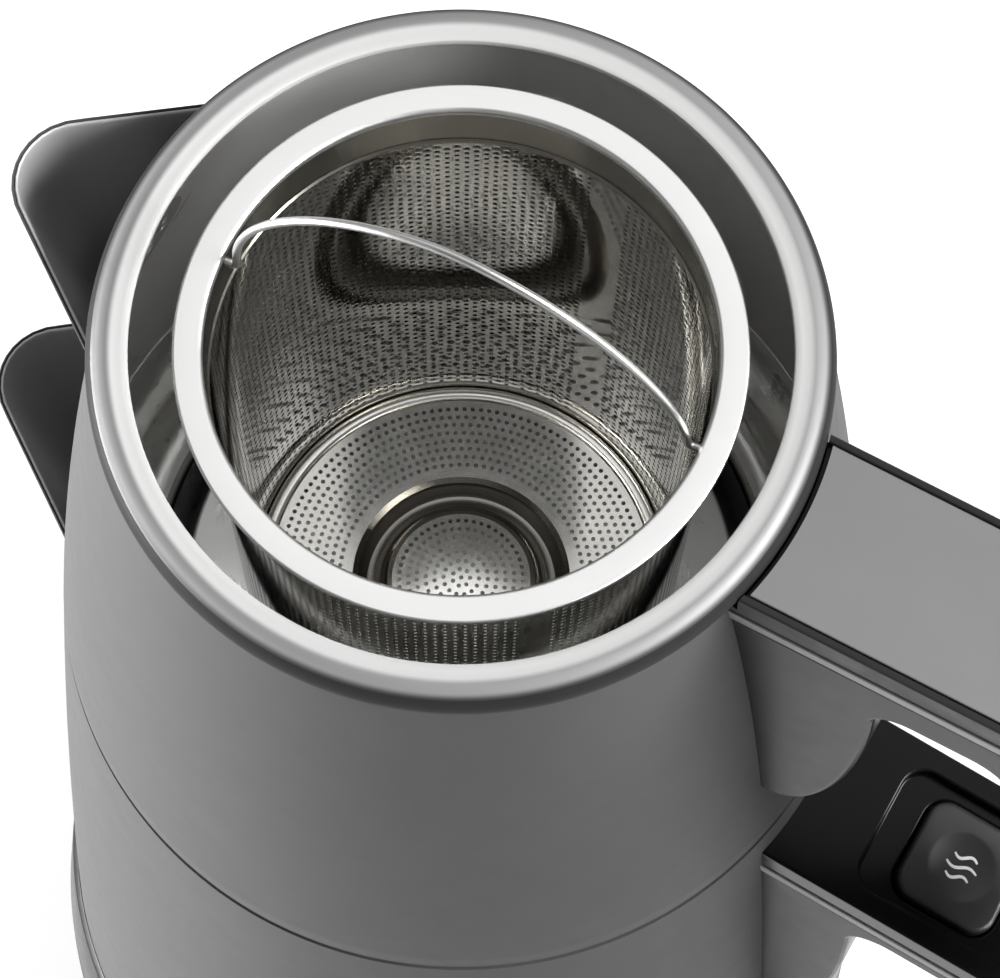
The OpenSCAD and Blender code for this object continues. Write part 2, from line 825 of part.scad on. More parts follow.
module basket_bead() {
    z = basket_plate_z - sheet / 2;
    color(steel) difference() {
        translate([0, 0, z - bead_r])
            cylinder(r1 = basket_r(z - bead_r), r2 = basket_r(z + bead_r), h = 2 * bead_r);
        translate([0, 0, z - bead_r - eps])
            cylinder(r = basket_r(basket_plate_z) - 2 * bead_r, h = 2 * (bead_r + eps));
    }
}

// The bail's wire as rings of x, z and radius: a leg's head, pin and bend, and the arch between the
// legs, whose crown stands a little towards the spouts
function bail_leg(head_x) = concat(
    [[head_x + bail_head_t, 0, bail_head_r], [head_x, 0, bail_head_r], [head_x, 0, wire_r]],
    [for (p = arc([bail_r + bail_bend, bail_bend], bail_bend, 270, 180, 5)) [p[0], p[1], wire_r]]);
function bail_point(t) = let (c = cos(t), rise = pow(sin(t), bail_power))
    [sign(c) * bail_r * pow(abs(c), bail_power) - bail_skew * rise, bail_bend + bail_r * rise, wire_r];

module basket_bail() {
    leg = bail_leg(basket_r(pivot_z) + sheet + 0.4);
    arch = [for (i = [1 : bail_steps - 1]) bail_point(180 * i / bail_steps)];
    path = concat(leg, arch, [for (i = [len(leg) - 1 : -1 : 0]) [-leg[i][0], leg[i][1], leg[i][2]]]);
    last = len(path) - 1;
    n = bail_sides;
    pts = [for (i = [0 : last])
        let (step = path[min(i + 1, last)] - path[max(i - 1, 0)],
            side = [step[1], -step[0]] / norm([step[0], step[1]]))
        for (j = [0 : n - 1]) let (b = 360 * j / n, p = path[i])
            [p[0] + p[2] * cos(b) * side[0], -p[2] * sin(b), p[1] + p[2] * cos(b) * side[1]]];
    sides_f = [for (i = [0 : last - 1], j = [0 : n - 1]) let (k = (j + 1) % n)
        [i * n + j, i * n + k, (i + 1) * n + k, (i + 1) * n + j]];
    ends_f = [[for (j = [n - 1 : -1 : 0]) j], [for (j = [0 : n - 1]) last * n + j]];
    color(steel) rotate([0, 0, basket_turn]) translate([0, 0, pivot_z])
        polyhedron(pts, concat(sides_f, ends_f), convexity = 4);
}

// ---- pieces ----
base_housing();
base_bottom_plate();
base_feet();
base_connector();
base_contacts();
base_cord_inlet();
base_screws();
kettle_shell();
kettle_floor();
kettle_rim_seat();
kettle_spout();
kettle_spout_filter();
kettle_collar();
kettle_bottom_cover();
kettle_cover_screws();
heat_spreader();
heating_element();
kettle_connector();
kettle_handle_body();
kettle_handle_trim();
kettle_handle_top();
kettle_handle_screws();
steam_button();
button_spring();
button_switch();
boil_sensor();
teapot_shell();
teapot_lip();
teapot_floor();
teapot_spout();
teapot_spout_filter();
teapot_handle_body();
teapot_handle_trim();
teapot_handle_frame();
teapot_handle_plate();
teapot_handle_screws();
basket_flange();
basket_wall();
basket_bottom();
basket_bead();
basket_bail();
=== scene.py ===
import math

import bmesh
import bpy
from mathutils import Matrix, Vector
from mathutils.geometry import delaunay_2d_cdt


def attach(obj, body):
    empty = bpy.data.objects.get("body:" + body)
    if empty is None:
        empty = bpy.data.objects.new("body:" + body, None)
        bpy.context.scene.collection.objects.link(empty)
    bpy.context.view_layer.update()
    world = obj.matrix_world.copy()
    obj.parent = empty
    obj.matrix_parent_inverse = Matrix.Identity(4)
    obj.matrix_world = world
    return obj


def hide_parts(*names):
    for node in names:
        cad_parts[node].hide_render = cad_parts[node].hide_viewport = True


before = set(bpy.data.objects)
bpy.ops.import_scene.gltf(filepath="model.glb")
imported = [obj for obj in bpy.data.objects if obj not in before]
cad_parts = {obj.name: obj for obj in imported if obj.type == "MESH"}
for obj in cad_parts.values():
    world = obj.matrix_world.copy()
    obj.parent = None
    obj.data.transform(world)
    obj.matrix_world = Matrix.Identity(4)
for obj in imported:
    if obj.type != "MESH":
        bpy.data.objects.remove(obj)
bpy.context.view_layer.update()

MM = 0.001
TAU = 2 * math.pi
scene = bpy.context.scene

# ---------------------------------------------------------------- sizes, in mm, as in the CAD
LIP_TOP, LIP_OUT, LIP_IN, NECK_R, NECK_Z = 290.0, 53.4, 47.2, 52.2, 284.0
SEAM_Z, SEAM_R, FOOT_Z, FOOT_R, WALL = 186.0, 63.2, 43.0, 70.2, 1.2
POT_Z = SEAM_Z + 0.6
POT_FLOOR = 183.5
BASE_R, BASE_TOP = 73.3, 18.0
FLANGE_Z, FLANGE_IN, FLANGE_OUT, SHEET = 288.6, 36.7, 41.0, 0.6
BASKET_FOOT_R = 32.6
PLATE_Z = POT_FLOOR + 4.5
PIVOT_Z = FLANGE_Z - 2.2
BASKET_TURN_DEG = 5.5
BASKET_TURN = math.radians(BASKET_TURN_DEG)
SLOPE = math.radians(10)
POT_LEAN, KET_LEAN = math.radians(7.5), math.radians(3)
SKIN_T, LINER_D = 0.9, 0.95
SPOUT_H, POT_TIP, POT_RIM, KET_TIP, KET_RIM, PORT_DROP = 46, 73, LIP_TOP - 12, 84, SEAM_Z - 3, 16


def mix(a, b, t):
    return a + (b - a) * t


def teapot_r(z):
    t = (z - SEAM_Z) / (NECK_Z - SEAM_Z)
    return mix(SEAM_R, NECK_R, t) + 4 * 1.2 * t * (1 - t)


def kettle_r(z):
    t = (z - FOOT_Z) / (SEAM_Z - FOOT_Z)
    return mix(FOOT_R, SEAM_R, t) + 4 * 0.6 * t * (1 - t)


def basket_r(z):
    return mix(BASKET_FOOT_R, FLANGE_IN, (z - POT_FLOOR) / (FLANGE_Z - POT_FLOOR))


# ---------------------------------------------------------------- materials
class Graph:
    def __init__(self, name):
        self.mat = bpy.data.materials.new(name)
        self.mat.use_nodes = True
        self.tree = self.mat.node_tree
        self.tree.nodes.clear()

    def add(self, kind, inputs=None, **props):
        n = self.tree.nodes.new(kind)
        for k, v in props.items():
            setattr(n, k, v)
        for k, v in (inputs or {}).items():
            if isinstance(v, bpy.types.NodeSocket):
                self.tree.links.new(v, n.inputs[k])
            else:
                n.inputs[k].default_value = v
        return n

    def math(self, op, a, b=0.0):
        return self.add("ShaderNodeMath", {0: a, 1: b}, operation=op).outputs[0]

    def remap(self, v, a, b, lo, hi):
        n = self.add("ShaderNodeMapRange", {0: v, 1: a, 2: b, 3: lo, 4: hi})
        return n.outputs[0]

    def blend(self, fac, a, b):
        n = self.add("ShaderNodeMix", data_type="RGBA")
        for k, v in ((0, fac), (6, a), (7, b)):
            if isinstance(v, bpy.types.NodeSocket):
                self.tree.links.new(v, n.inputs[k])
            else:
                n.inputs[k].default_value = v
        return n.outputs[2]


def shade(c, k):
    return (min(c[0] * k, 1), min(c[1] * k, 1), min(c[2] * k, 1), 1)


def finish(name, color, vary=0.06, metallic=0.0, rough=0.4, rough_vary=0.05, grain=2.0, bump=0.15,
           brush=None, brush_gain=0.5, specular=0.5, tint=()):
    """Procedural finish: cloudy colour, smudged roughness, fine grain or brushing.

    Each tint is a ring round the upright axis: inner radius, outer radius and softness in mm, and colour.
    """
    g = Graph(name)
    pos = g.add("ShaderNodeTexCoord").outputs["Object"]
    mm = g.add("ShaderNodeVectorMath", {0: pos, 1: (1000, 1000, 1000)}, operation="MULTIPLY").outputs[0]
    cloud = g.add("ShaderNodeTexNoise", {"Vector": mm, "Scale": 0.035, "Detail": 4.0, "Roughness": 0.55})
    smudge = g.add("ShaderNodeTexNoise", {"Vector": mm, "Scale": 0.16, "Detail": 5.0, "Roughness": 0.6})
    xyz = g.add("ShaderNodeSeparateXYZ", {0: mm})
    radius = g.math("SQRT", g.math("ADD", g.math("MULTIPLY", xyz.outputs[0], xyz.outputs[0]),
                                   g.math("MULTIPLY", xyz.outputs[1], xyz.outputs[1])))
    if brush == "round":
        safe = g.math("MAXIMUM", radius, 0.5)
        line = g.math("ADD", g.math("MULTIPLY", radius, 1.9), g.math("MULTIPLY", xyz.outputs[2], 1.7))
        vec = g.add("ShaderNodeCombineXYZ", {
            0: g.math("MULTIPLY", g.math("DIVIDE", xyz.outputs[0], safe), 2.2),
            1: g.math("MULTIPLY", g.math("DIVIDE", xyz.outputs[1], safe), 2.2), 2: line}).outputs[0]
        fine = g.add("ShaderNodeTexNoise", {"Vector": vec, "Scale": 1.6, "Detail": 6.0, "Roughness": 0.7})
    elif brush:
        vec = g.add("ShaderNodeVectorMath", {0: mm, 1: brush}, operation="MULTIPLY").outputs[0]
        fine = g.add("ShaderNodeTexNoise", {"Vector": vec, "Scale": 1.6, "Detail": 6.0, "Roughness": 0.7})
    else:
        fine = g.add("ShaderNodeTexNoise", {"Vector": mm, "Scale": grain, "Detail": 3.0, "Roughness": 0.5})
    base = g.blend(g.remap(cloud.outputs[0], 0.3, 0.7, 0.0, 1.0), shade(color, 1 - vary), shade(color, 1 + vary))
    if brush:
        streak = g.remap(fine.outputs[0], 0.3, 0.7, 0.0, brush_gain)
        base = g.blend(streak, base, shade(color, 1 - 2.2 * vary))
    for lo, hi, soft, tone in tint:
        rise = g.add("ShaderNodeMapRange", {0: radius, 1: lo - soft, 2: lo + soft}, interpolation_type="SMOOTHSTEP")
        fall = g.add("ShaderNodeMapRange", {0: radius, 1: hi - soft, 2: hi + soft, 3: 1.0, 4: 0.0},
                     interpolation_type="SMOOTHSTEP")
        band = g.math("MULTIPLY", rise.outputs[0], fall.outputs[0])
        base = g.blend(band, base, shade(tone, 1))
    mixed = g.math("ADD", g.math("MULTIPLY", smudge.outputs[0], 0.65), g.math("MULTIPLY", fine.outputs[0], 0.35))
    roughness = g.remap(mixed, 0.35, 0.65, max(rough - rough_vary, 0.02), min(rough + rough_vary, 1))
    relief = g.add("ShaderNodeBump", {"Strength": bump, "Distance": 0.00004, "Height": fine.outputs[0]})
    shader = g.add("ShaderNodeBsdfPrincipled", {
        "Base Color": base, "Roughness": roughness, "Metallic": metallic, "Normal": relief.outputs[0],
        "Specular IOR Level": specular})
    out = g.add("ShaderNodeOutputMaterial")
    g.tree.links.new(shader.outputs[0], out.inputs[0])
    return g.mat


COAT = finish("satin_metal_coat", (0.049, 0.049, 0.049), 0.03, 0.0, 0.5, 0.03, 3.0, 0.04, specular=0.03)
BEAK = finish("beak_lining", (0.52, 0.52, 0.52), 0.04, 0.4, 0.4, 0.04, 3.0, 0.06, specular=0.3)
# Lip steel tints: a lighter ring from 46 to 49.9 mm, partly brighter bare steel and partly painted highlight; a
# near-black ring from 52 mm out, painted shade under the roll
LIP_STEEL = finish("lip_steel", (0.175, 0.175, 0.175), 0.03, 0.15, 0.45, 0.04, 3.0, 0.04, "round", 0.15,
                   specular=0.3,
                   tint=((46.0, 49.9, 0.5, (0.38, 0.38, 0.377)), (52.0, 60, 0.45, (0.02, 0.02, 0.02))))
# Painted shade: near-black finish on the lip roll's outer face, standing in for the shade under the lip
LIP_SHADE = finish("lip_painted_shade", (0.016, 0.016, 0.016), 0.05, 0.0, 0.5, 0.04, 3.0, 0.04, specular=0.03)
LINING = finish("brushed_lining", (0.93, 0.93, 0.925), 0.02, 0.6, 0.4, 0.05, 2.0, 0.06, "round", 0.35)
# Painted reflection and shade: the near-black ring from 43.6 to 48.8 mm stands in for the basket's dark reflection
# and shadow on the floor
FLOOR_STEEL = finish("pressed_floor", (0.95, 0.95, 0.945), 0.01, 0.9, 0.3, 0.06, 2.0, 0.08, "round", 0.3,
                     tint=((43.6, 48.8, 0.4, (0.02, 0.02, 0.021)),))
STRAINER = finish("strainer_sheet", (0.6, 0.59, 0.56), 0.03, 1.0, 0.045, 0.015, 2.0, 0.004, "round", 0.3)
# Painted shade: the channel's steel is far darker than the plate, standing in for the shade in the deep groove
CHANNEL_SHADE = finish("channel_painted_shade", (0.22, 0.21, 0.195), 0.03, 1.0, 0.2, 0.03, 2.0, 0.01, "round", 0.3)
# Painted shade: the top band is a darker copy of the strainer steel, for the shade and dark reflection under the
# flange
BAND = finish("strainer_band_painted_shade", (0.3, 0.285, 0.25), 0.03, 1.0, 0.2, 0.03, 2.0, 0.01, "round", 0.3)
PLATE_STEEL = finish("strainer_plate", (0.88, 0.875, 0.85), 0.02, 1.0, 0.22, 0.05, 2.0, 0.04, "round", 0.3)
FLANGE = finish("flange_steel", (0.71, 0.71, 0.705), 0.02, 1.0, 0.34, 0.04, 2.0, 0.05, "round", 0.2)
WIRE = finish("drawn_wire", (0.42, 0.42, 0.415), 0.04, 1.0, 0.36, 0.05, 5.0, 0.06)
STEEL = finish("plain_steel", (0.66, 0.66, 0.65), 0.06, 1.0, 0.32, 0.08, 4.0, 0.2, "round", 0.4)
TRIM = finish("trim_metal", (0.17, 0.17, 0.17), 0.05, 0.9, 0.42, 0.04, 3.0, 0.12, (0.05, 3.0, 0.05), 0.4)
PLATE = finish("plate_metal", (0.205, 0.205, 0.206), 0.03, 0.9, 0.42, 0.015, 4.0, 0.12, (0.04, 4.0, 0.04), 0.3)
GLOSS = finish("polished_black", (0.008, 0.008, 0.008), 0.15, 0.0, 0.24, 0.03, 1.2, 0.02, specular=0.07)
PIANO = finish("lacquered_black", (0.003, 0.003, 0.003), 0.15, 0.0, 0.15, 0.015, 1.2, 0.01, specular=0.12)
BLACK = finish("moulded_black", (0.012, 0.012, 0.013), 0.15, 0.0, 0.38, 0.08, 6.0, 0.35, specular=0.15)
BUTTON = finish("satin_button", (0.017, 0.017, 0.017), 0.12, 0.0, 0.34, 0.05, 7.0, 0.12, specular=0.3)
RUBBER = finish("foot_rubber", (0.018, 0.018, 0.018), 0.2, 0.0, 0.75, 0.1, 5.0, 0.8, specular=0.3)
BRASS = finish("contact_brass", (0.72, 0.5, 0.2), 0.1, 1.0, 0.3, 0.08, 3.0, 0.2, "round", 0.4)
ALU = finish("cast_aluminium", (0.6, 0.61, 0.62), 0.08, 1.0, 0.48, 0.1, 4.0, 0.7)
MARK = finish("pale_print", (0.62, 0.62, 0.62), 0.06, 0.0, 0.5, 0.05, 8.0, 0.2)


# ---------------------------------------------------------------- mesh helpers
def link(name, mesh):
    obj = bpy.data.objects.new(name, mesh)
    scene.collection.objects.link(obj)
    return obj


def from_mm(name, verts, faces):
    mesh = bpy.data.meshes.new(name)
    mesh.from_pydata([(x * MM, y * MM, z * MM) for x, y, z in verts], [], faces)
    mesh.validate()
    mesh.update()
    return link(name, mesh)


def soften(obj, angle=32):
    obj.data.shade_smooth()
    obj.data.set_sharp_from_angle(angle=math.radians(angle))
    return obj


def outward(obj):
    b = bmesh.new()
    b.from_mesh(obj.data)
    bmesh.ops.remove_doubles(b, verts=b.verts, dist=2e-6)
    bmesh.ops.recalc_face_normals(b, faces=b.faces)
    b.to_mesh(obj.data)
    b.free()
    return obj


def fillet(points):
    """Closed profile from (r, z) or (r, z, radius) corners; a radius rounds its corner."""
    out = []
    n = len(points)
    for i, p in enumerate(points):
        rad = p[2] if len(p) > 2 else 0
        here = Vector(p[:2])
        if not rad:
            out.append(tuple(here))
            continue
        a = Vector(points[i - 1][:2]) - here
        b = Vector(points[(i + 1) % n][:2]) - here
        half = a.angle(b) / 2
        cut = min(rad / math.tan(half), a.length * 0.49, b.length * 0.49)
        rad = cut * math.tan(half)
        a.normalize()
        b.normalize()
        centre = here + (a + b).normalized() * (rad / math.sin(half))
        s, e = here + a * cut - centre, here + b * cut - centre
        turn = s.angle_signed(e)
        steps = max(3, int(abs(math.degrees(turn)) / 10))
        for k in range(steps + 1):
            t = -turn * k / steps
            out.append((centre.x + s.x * math.cos(t) - s.y * math.sin(t),
                        centre.y + s.x * math.sin(t) + s.y * math.cos(t)))
    return out


def lathe(name, profile, n=256):
    """Closed profile of (r, z) points turned round the upright axis."""
    verts, rings = [], []
    for r, z in profile:
        if r < 1e-4:
            rings.append([len(verts)] * n)
            verts.append((0, 0, z))
        else:
            rings.append(list(range(len(verts), len(verts) + n)))
            verts += [(r * math.cos(TAU * k / n), r * math.sin(TAU * k / n), z) for k in range(n)]
    faces = []
    for i in range(len(rings)):
        a, b = rings[i], rings[(i + 1) % len(rings)]
        if a[0] == a[1] and b[0] == b[1]:
            continue
        for k in range(n):
            m = (k + 1) % n
            f = []
            for v in (a[k], a[m], b[m], b[k]):
                if v not in f:
                    f.append(v)
            if len(f) > 2:
                faces.append(f)
    return soften(outward(from_mm(name, verts, faces)))


def put(obj, material, body, slot, *nodes):
    obj.data.materials.clear()
    obj.data.materials.append(material)
    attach(obj, body)
    if nodes:
        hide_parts(*nodes)
    return obj


def apply_modifiers(obj):
    depsgraph = bpy.context.evaluated_depsgraph_get()
    mesh = bpy.data.meshes.new_from_object(obj.evaluated_get(depsgraph))
    obj.modifiers.clear()
    old = obj.data
    obj.data = mesh
    bpy.data.meshes.remove(old)
    return obj


def bevel(obj, width, angle=35, segments=3):
    m = obj.modifiers.new("bevel", "BEVEL")
    m.width = width * MM
    m.segments = segments
    m.limit_method = "ANGLE"
    m.angle_limit = math.radians(angle)
    m.miter_outer = "MITER_ARC"
    m.use_clamp_overlap = True
    return apply_modifiers(obj)


def carve(obj, *cutters, keep=False):
    for c in cutters:
        m = obj.modifiers.new("carve", "BOOLEAN")
        m.operation = "DIFFERENCE"
        m.solver = "EXACT"
        m.object = c
        bpy.context.view_layer.update()
        apply_modifiers(obj)
        if not keep:
            bpy.data.objects.remove(c)


def rod(name, x0, x1, r, z, n=64):
    verts, faces = [], []
    for x in (x0, x1):
        verts += [(x, r * math.cos(TAU * k / n), z + r * math.sin(TAU * k / n)) for k in range(n)]
    faces = [[k, (k + 1) % n, n + (k + 1) % n, n + k] for k in range(n)]
    faces += [list(range(n))[::-1], list(range(n, 2 * n))]
    return outward(from_mm(name, verts, faces))


def prism(name, outline, width):
    """Solid with an outline in the x-z plane, as wide as given along y."""
    n = len(outline)
    verts = [(x, -width / 2, z) for x, z in outline] + [(x, width / 2, z) for x, z in outline]
    faces = [[k, (k + 1) % n, n + (k + 1) % n, n + k] for k in range(n)]
    faces += [list(range(n)), list(range(n, 2 * n))[::-1]]
    return outward(from_mm(name, verts, faces))


def arc(c, r, a0, a1, n=24):
    return [(c[0] + r * math.cos(math.radians(mix(a0, a1, i / n))),
             c[1] + r * math.sin(math.radians(mix(a0, a1, i / n)))) for i in range(n + 1)]


def tube(name, points, r, n=16, ball=0.0):
    """Wire swept along points, its ends closed, each with an upset ball head if asked for."""
    path = [Vector(p) for p in points]
    radii = [r] * len(path)
    if ball:
        for end in (0, -1):
            inner = path[1] if end == 0 else path[-2]
            axis = (path[end] - inner).normalized()
            tip = path[end].copy()
            extra = [(tip + axis * (ball * (1 - math.cos(a))), max(ball * math.sin(a), r if a < 1 else 0.05))
                     for a in [math.pi * k / 10 for k in range(1, 11)]]
            if end == 0:
                path = [p for p, _ in extra[::-1]] + path
                radii = [q for _, q in extra[::-1]] + radii
            else:
                path += [p for p, _ in extra]
                radii += [q for _, q in extra]
    verts, faces = [], []
    normal = None
    for i, p in enumerate(path):
        t = (path[min(i + 1, len(path) - 1)] - path[max(i - 1, 0)]).normalized()
        if normal is None:
            normal = t.orthogonal().normalized()
        normal = (normal - t * normal.dot(t)).normalized()
        side = t.cross(normal)
        verts += [tuple(p + (normal * math.cos(TAU * k / n) + side * math.sin(TAU * k / n)) * radii[i])
                  for k in range(n)]
    for i in range(len(path) - 1):
        faces += [[i * n + k, i * n + (k + 1) % n, (i + 1) * n + (k + 1) % n, (i + 1) * n + k] for k in range(n)]
    faces += [list(range(n))[::-1], list(range(len(verts) - n, len(verts)))]
    return soften(outward(from_mm(name, verts, faces)), 50)


# ---------------------------------------------------------------- camera
CAM_C = Vector((0.135298, -0.249189, 1.01424))
CAM_R = Vector((0.880006073, 0.474916687, 0.006591784))
CAM_U = Vector((-0.448595038, 0.826512914, 0.340057194))
CAM_D = Vector((-0.156050641, 0.302209437, -0.940381653))
cam = bpy.data.cameras.new("camera")
cam.sensor_fit = "HORIZONTAL"
cam.sensor_width = 36
cam.lens = 198
cam.clip_start, cam.clip_end = 0.05, 20
camera = bpy.data.objects.new("camera", cam)
scene.collection.objects.link(camera)
camera.matrix_world = Matrix((
    (CAM_R.x, CAM_U.x, -CAM_D.x, CAM_C.x), (CAM_R.y, CAM_U.y, -CAM_D.y, CAM_C.y),
    (CAM_R.z, CAM_U.z, -CAM_D.z, CAM_C.z), (0, 0, 0, 1)))
scene.camera = camera

# ---------------------------------------------------------------- teapot body
def shell(body, skin, steps, lined, radius, port):
    """Coated skin and bright lining of a vessel, both bored through behind the spout."""
    skin = skin + [(radius(z) - SKIN_T, z) for z in steps[::-1]]
    liner = [(radius(z) - LINER_D, z) for z in lined] + [(radius(z) - WALL, z) for z in lined[::-1]]
    for name, profile, material, slot in (("_skin", skin, COAT, "satin_grey_coat"),
                                          ("_lining", liner, LINING, "plain_steel")):
        piece = lathe(body + name, profile)
        carve(piece, rod("cut", *port))
        put(soften(piece), material, body, slot, body + "_shell")


POT_STEPS = [POT_Z + (NECK_Z - POT_Z) * k / 24 for k in range(25)]
lower_edge = [(teapot_r(POT_Z) - 0.45, POT_Z), (teapot_r(POT_Z) - 0.14, POT_Z + 0.12),
              (teapot_r(POT_Z), POT_Z + 0.45)]
shell("teapot", lower_edge + [(teapot_r(z), z) for z in POT_STEPS[1:]], POT_STEPS, POT_STEPS[1:], teapot_r,
      (-80, -30, 8, POT_RIM - PORT_DROP))

LIP_ROLL, SHADE_R = 3.6, 52.4
roll = arc((LIP_OUT - LIP_ROLL, LIP_TOP - LIP_ROLL), LIP_ROLL, 82, -38, 24)
lip = [(NECK_R - WALL, NECK_Z), (LIP_IN + 0.5, LIP_TOP - 2.3), (LIP_IN + 0.05, LIP_TOP - 1.7),
       (LIP_IN, LIP_TOP - 1.2), (LIP_IN, LIP_TOP - 0.75), (LIP_IN + 0.14, LIP_TOP - 0.42),
       (LIP_IN + 0.45, LIP_TOP - 0.27), (48.4, LIP_TOP - 0.22), (49.5, LIP_TOP - 0.12), (49.72, LIP_TOP - 0.06)]
# The roll's outer face carries the body's grey coat, painted darker than the body as the shade under the lip
ring = put(lathe("teapot_lip_ring", roll + lip), LIP_STEEL, "teapot", "satin_grey_coat", "teapot_lip")
ring.data.materials.append(LIP_SHADE)
for face in ring.data.polygons:
    x, y, z = face.center
    if math.hypot(x, y) > SHADE_R * MM:
        face.material_index = 1

floor_top = [(0.0, POT_FLOOR), (43.4, POT_FLOOR), (44.2, POT_FLOOR - 0.7), (46.2, POT_FLOOR - 1.1),
             (48.2, POT_FLOOR - 0.7), (48.8, POT_FLOOR + 0.3), (49.5, POT_FLOOR + 0.75),
             (50.2, POT_FLOOR + 0.5), (51.5, POT_FLOOR + 0.4), (53.2, POT_FLOOR + 1.0),
             (54.4, POT_FLOOR + 2.4), (55.2, POT_FLOOR + 4.2), (56.4, POT_FLOOR + 5.2), (58.2, POT_FLOOR + 5.7),
             (59.8, POT_FLOOR + 6.6), (60.8, POT_FLOOR + 8.4), (61.25, POT_FLOOR + 11.2)]
floor_low = [(61.7, POT_FLOOR + 11.2), (61.9, 187.3), (57.0, 187.2), (57.0, 181.5), (0.0, 181.5)]
pan = lathe("teapot_floor_pan", floor_top + floor_low)
put(pan, FLOOR_STEEL, "teapot", "plain_steel", "teapot_floor")

# ---------------------------------------------------------------- kettle body
KET_STEPS = [FOOT_Z + (SEAM_Z - FOOT_Z) * k / 24 for k in range(25)]
seam_step = [(kettle_r(SEAM_Z) - d, SEAM_Z - h) for d, h in ((0, 1.0), (0.4, 0.9), (0.4, 0))]
shell("kettle", [(kettle_r(z), z) for z in KET_STEPS[:-1]] + seam_step, KET_STEPS, KET_STEPS, kettle_r,
      (-90, -30, 9, KET_RIM - PORT_DROP))
collar = lathe("kettle_collar_ring", fillet([
    (BASE_R - 3.5, BASE_TOP + 1), (BASE_R, BASE_TOP + 1, 1.6), (kettle_r(FOOT_Z) + 1.0, FOOT_Z + 0.2, 0.8),
    (kettle_r(FOOT_Z + 1.2) + 0.12, FOOT_Z + 1.2), (kettle_r(FOOT_Z + 1.2) - 0.05, FOOT_Z + 1.0),
    (kettle_r(FOOT_Z) - 0.02, FOOT_Z), (FOOT_R - 3, FOOT_Z), (FOOT_R - 3, FOOT_Z - 2), (BASE_R - 3.5, BASE_TOP + 4)]))
put(collar, GLOSS, "kettle", "gloss_black", "kettle_collar")
ledge = lathe("kettle_seat_ring", fillet([
    (52, 179.2, 0.4), (52, 181.5, 0.7), (kettle_r(181.5) - 1.25, 181.5, 0.2), (kettle_r(179) - 1.25, 179.0)]))
put(ledge, STEEL, "kettle", "plain_steel", "kettle_rim_seat")
pan = lathe("kettle_floor_pan", [(0, 45.0), (60, 45.0), (63, 45.4), (65.5, 46.6), (67.2, 48.6), (68.2, 51.5),
                                 (68.75, 51.5), (68.85, 45.0), (68.9, 43.5), (0, 43.5)])
put(pan, LINING, "kettle", "plain_steel", "kettle_floor")

# ---------------------------------------------------------------- power base
base = lathe("base_shell", fillet([
    (0, 20), (60, 20, 0.6), (61, 18.1, 0.3), (BASE_R - 0.2, BASE_TOP, 2.0), (BASE_R, BASE_TOP - 2.5, 0.4),
    (BASE_R - 0.1, 6.5, 2.2), (BASE_R - 2.2, 4.5, 0.5), (BASE_R - 4.5, 4.5), (BASE_R - 4.5, 16), (57, 16),
    (57, 18), (0, 18)]))
carve(base, rod("cut", BASE_R - 12, BASE_R + 6, 4.6, 10))
bore = lathe("cut", [(0, 10), (16, 10), (16, 25), (0, 25)], 96)
carve(base, bore)
put(soften(base), BLACK, "power_base", "black_plastic", "base_housing")


# ---------------------------------------------------------------- spouts
NOSE_RIM, NOSE_FOOT = 10.3, 3.0


def spout(name, tip, rim, height, wall_r, a, b, material, body, slot, node):
    """Layer of a V-shaped beak, from a to b mm inside its outer face."""
    half = math.radians(36)

    def tip_at(s):
        # Front line of the beak: upright under the rim, then a long sweep back to the wall
        foot = wall_r(rim - height) + 0.2
        return foot + (tip - foot) * ((1 - s) ** 3 + 3 * (1 - s) ** 2 * s * 0.97 + 3 * (1 - s) * s * s * 0.42)

    def outline(z, inset, count=41):
        s = min(max((rim - z) / height, 0), 1)
        nose = mix(NOSE_RIM, NOSE_FOOT, s ** 0.8)
        cx = tip_at(s) - nose
        r = max(nose - inset, 0.4)
        limit = wall_r(z) - 0.6

        def x_at(y):
            y = abs(y)
            if y < r * math.cos(half):
                return cx + math.sqrt(r * r - y * y)
            return cx + r * math.sin(half) - (y - r * math.cos(half)) / math.tan(half)
        lo, hi = 0.0, 60.0
        if x_at(0) <= limit:
            return [(-limit, 0.001 * (k - count // 2), z) for k in range(count)]
        for _ in range(50):
            m = (lo + hi) / 2
            x = x_at(m)
            if x > 0 and x * x + m * m > limit * limit:
                lo = m
            else:
                hi = m
        ys = [lo * math.sin(math.pi / 2 * (2 * k / (count - 1) - 1)) for k in range(count)]
        return [(-x_at(y), y, z) for y in ys]

    levels = [rim - height * (0.985 * (k / 26) ** 1.15) for k in range(26, 0, -1)]
    path = [(z, a) for z in levels if z < rim - 0.6] + [
        (rim - 0.3, a), (rim - 0.08, mix(a, b, 0.16)), (rim, mix(a, b, 0.5)), (rim - 0.08, mix(a, b, 0.84)),
        (rim - 0.3, b)]
    path += [(z, b) for z in levels[::-1] if z < rim - 0.6]
    rows = [outline(z, inset) for z, inset in path]
    m = len(rows[0])
    verts = [v for row in rows for v in row]
    faces = []
    for i in range(len(rows)):
        j = (i + 1) % len(rows)
        faces += [[i * m + k, i * m + k + 1, j * m + k + 1, j * m + k] for k in range(m - 1)]
    faces.append([i * m for i in range(len(rows))])
    faces.append([i * m + m - 1 for i in range(len(rows))][::-1])
    obj = soften(outward(from_mm(name, verts, faces)), 40)
    return put(obj, material, body, slot, node)


for label, a, b, material in (("", 0.0, 0.5, COAT), ("_lining", 0.52, 1.0, BEAK)):
    spout("teapot_beak" + label, POT_TIP, POT_RIM, SPOUT_H, teapot_r, a, b, material, "teapot",
          "satin_grey_coat", "teapot_spout")
    spout("kettle_beak" + label, KET_TIP, KET_RIM, SPOUT_H, kettle_r, a, b, material, "kettle",
          "satin_grey_coat", "kettle_spout")


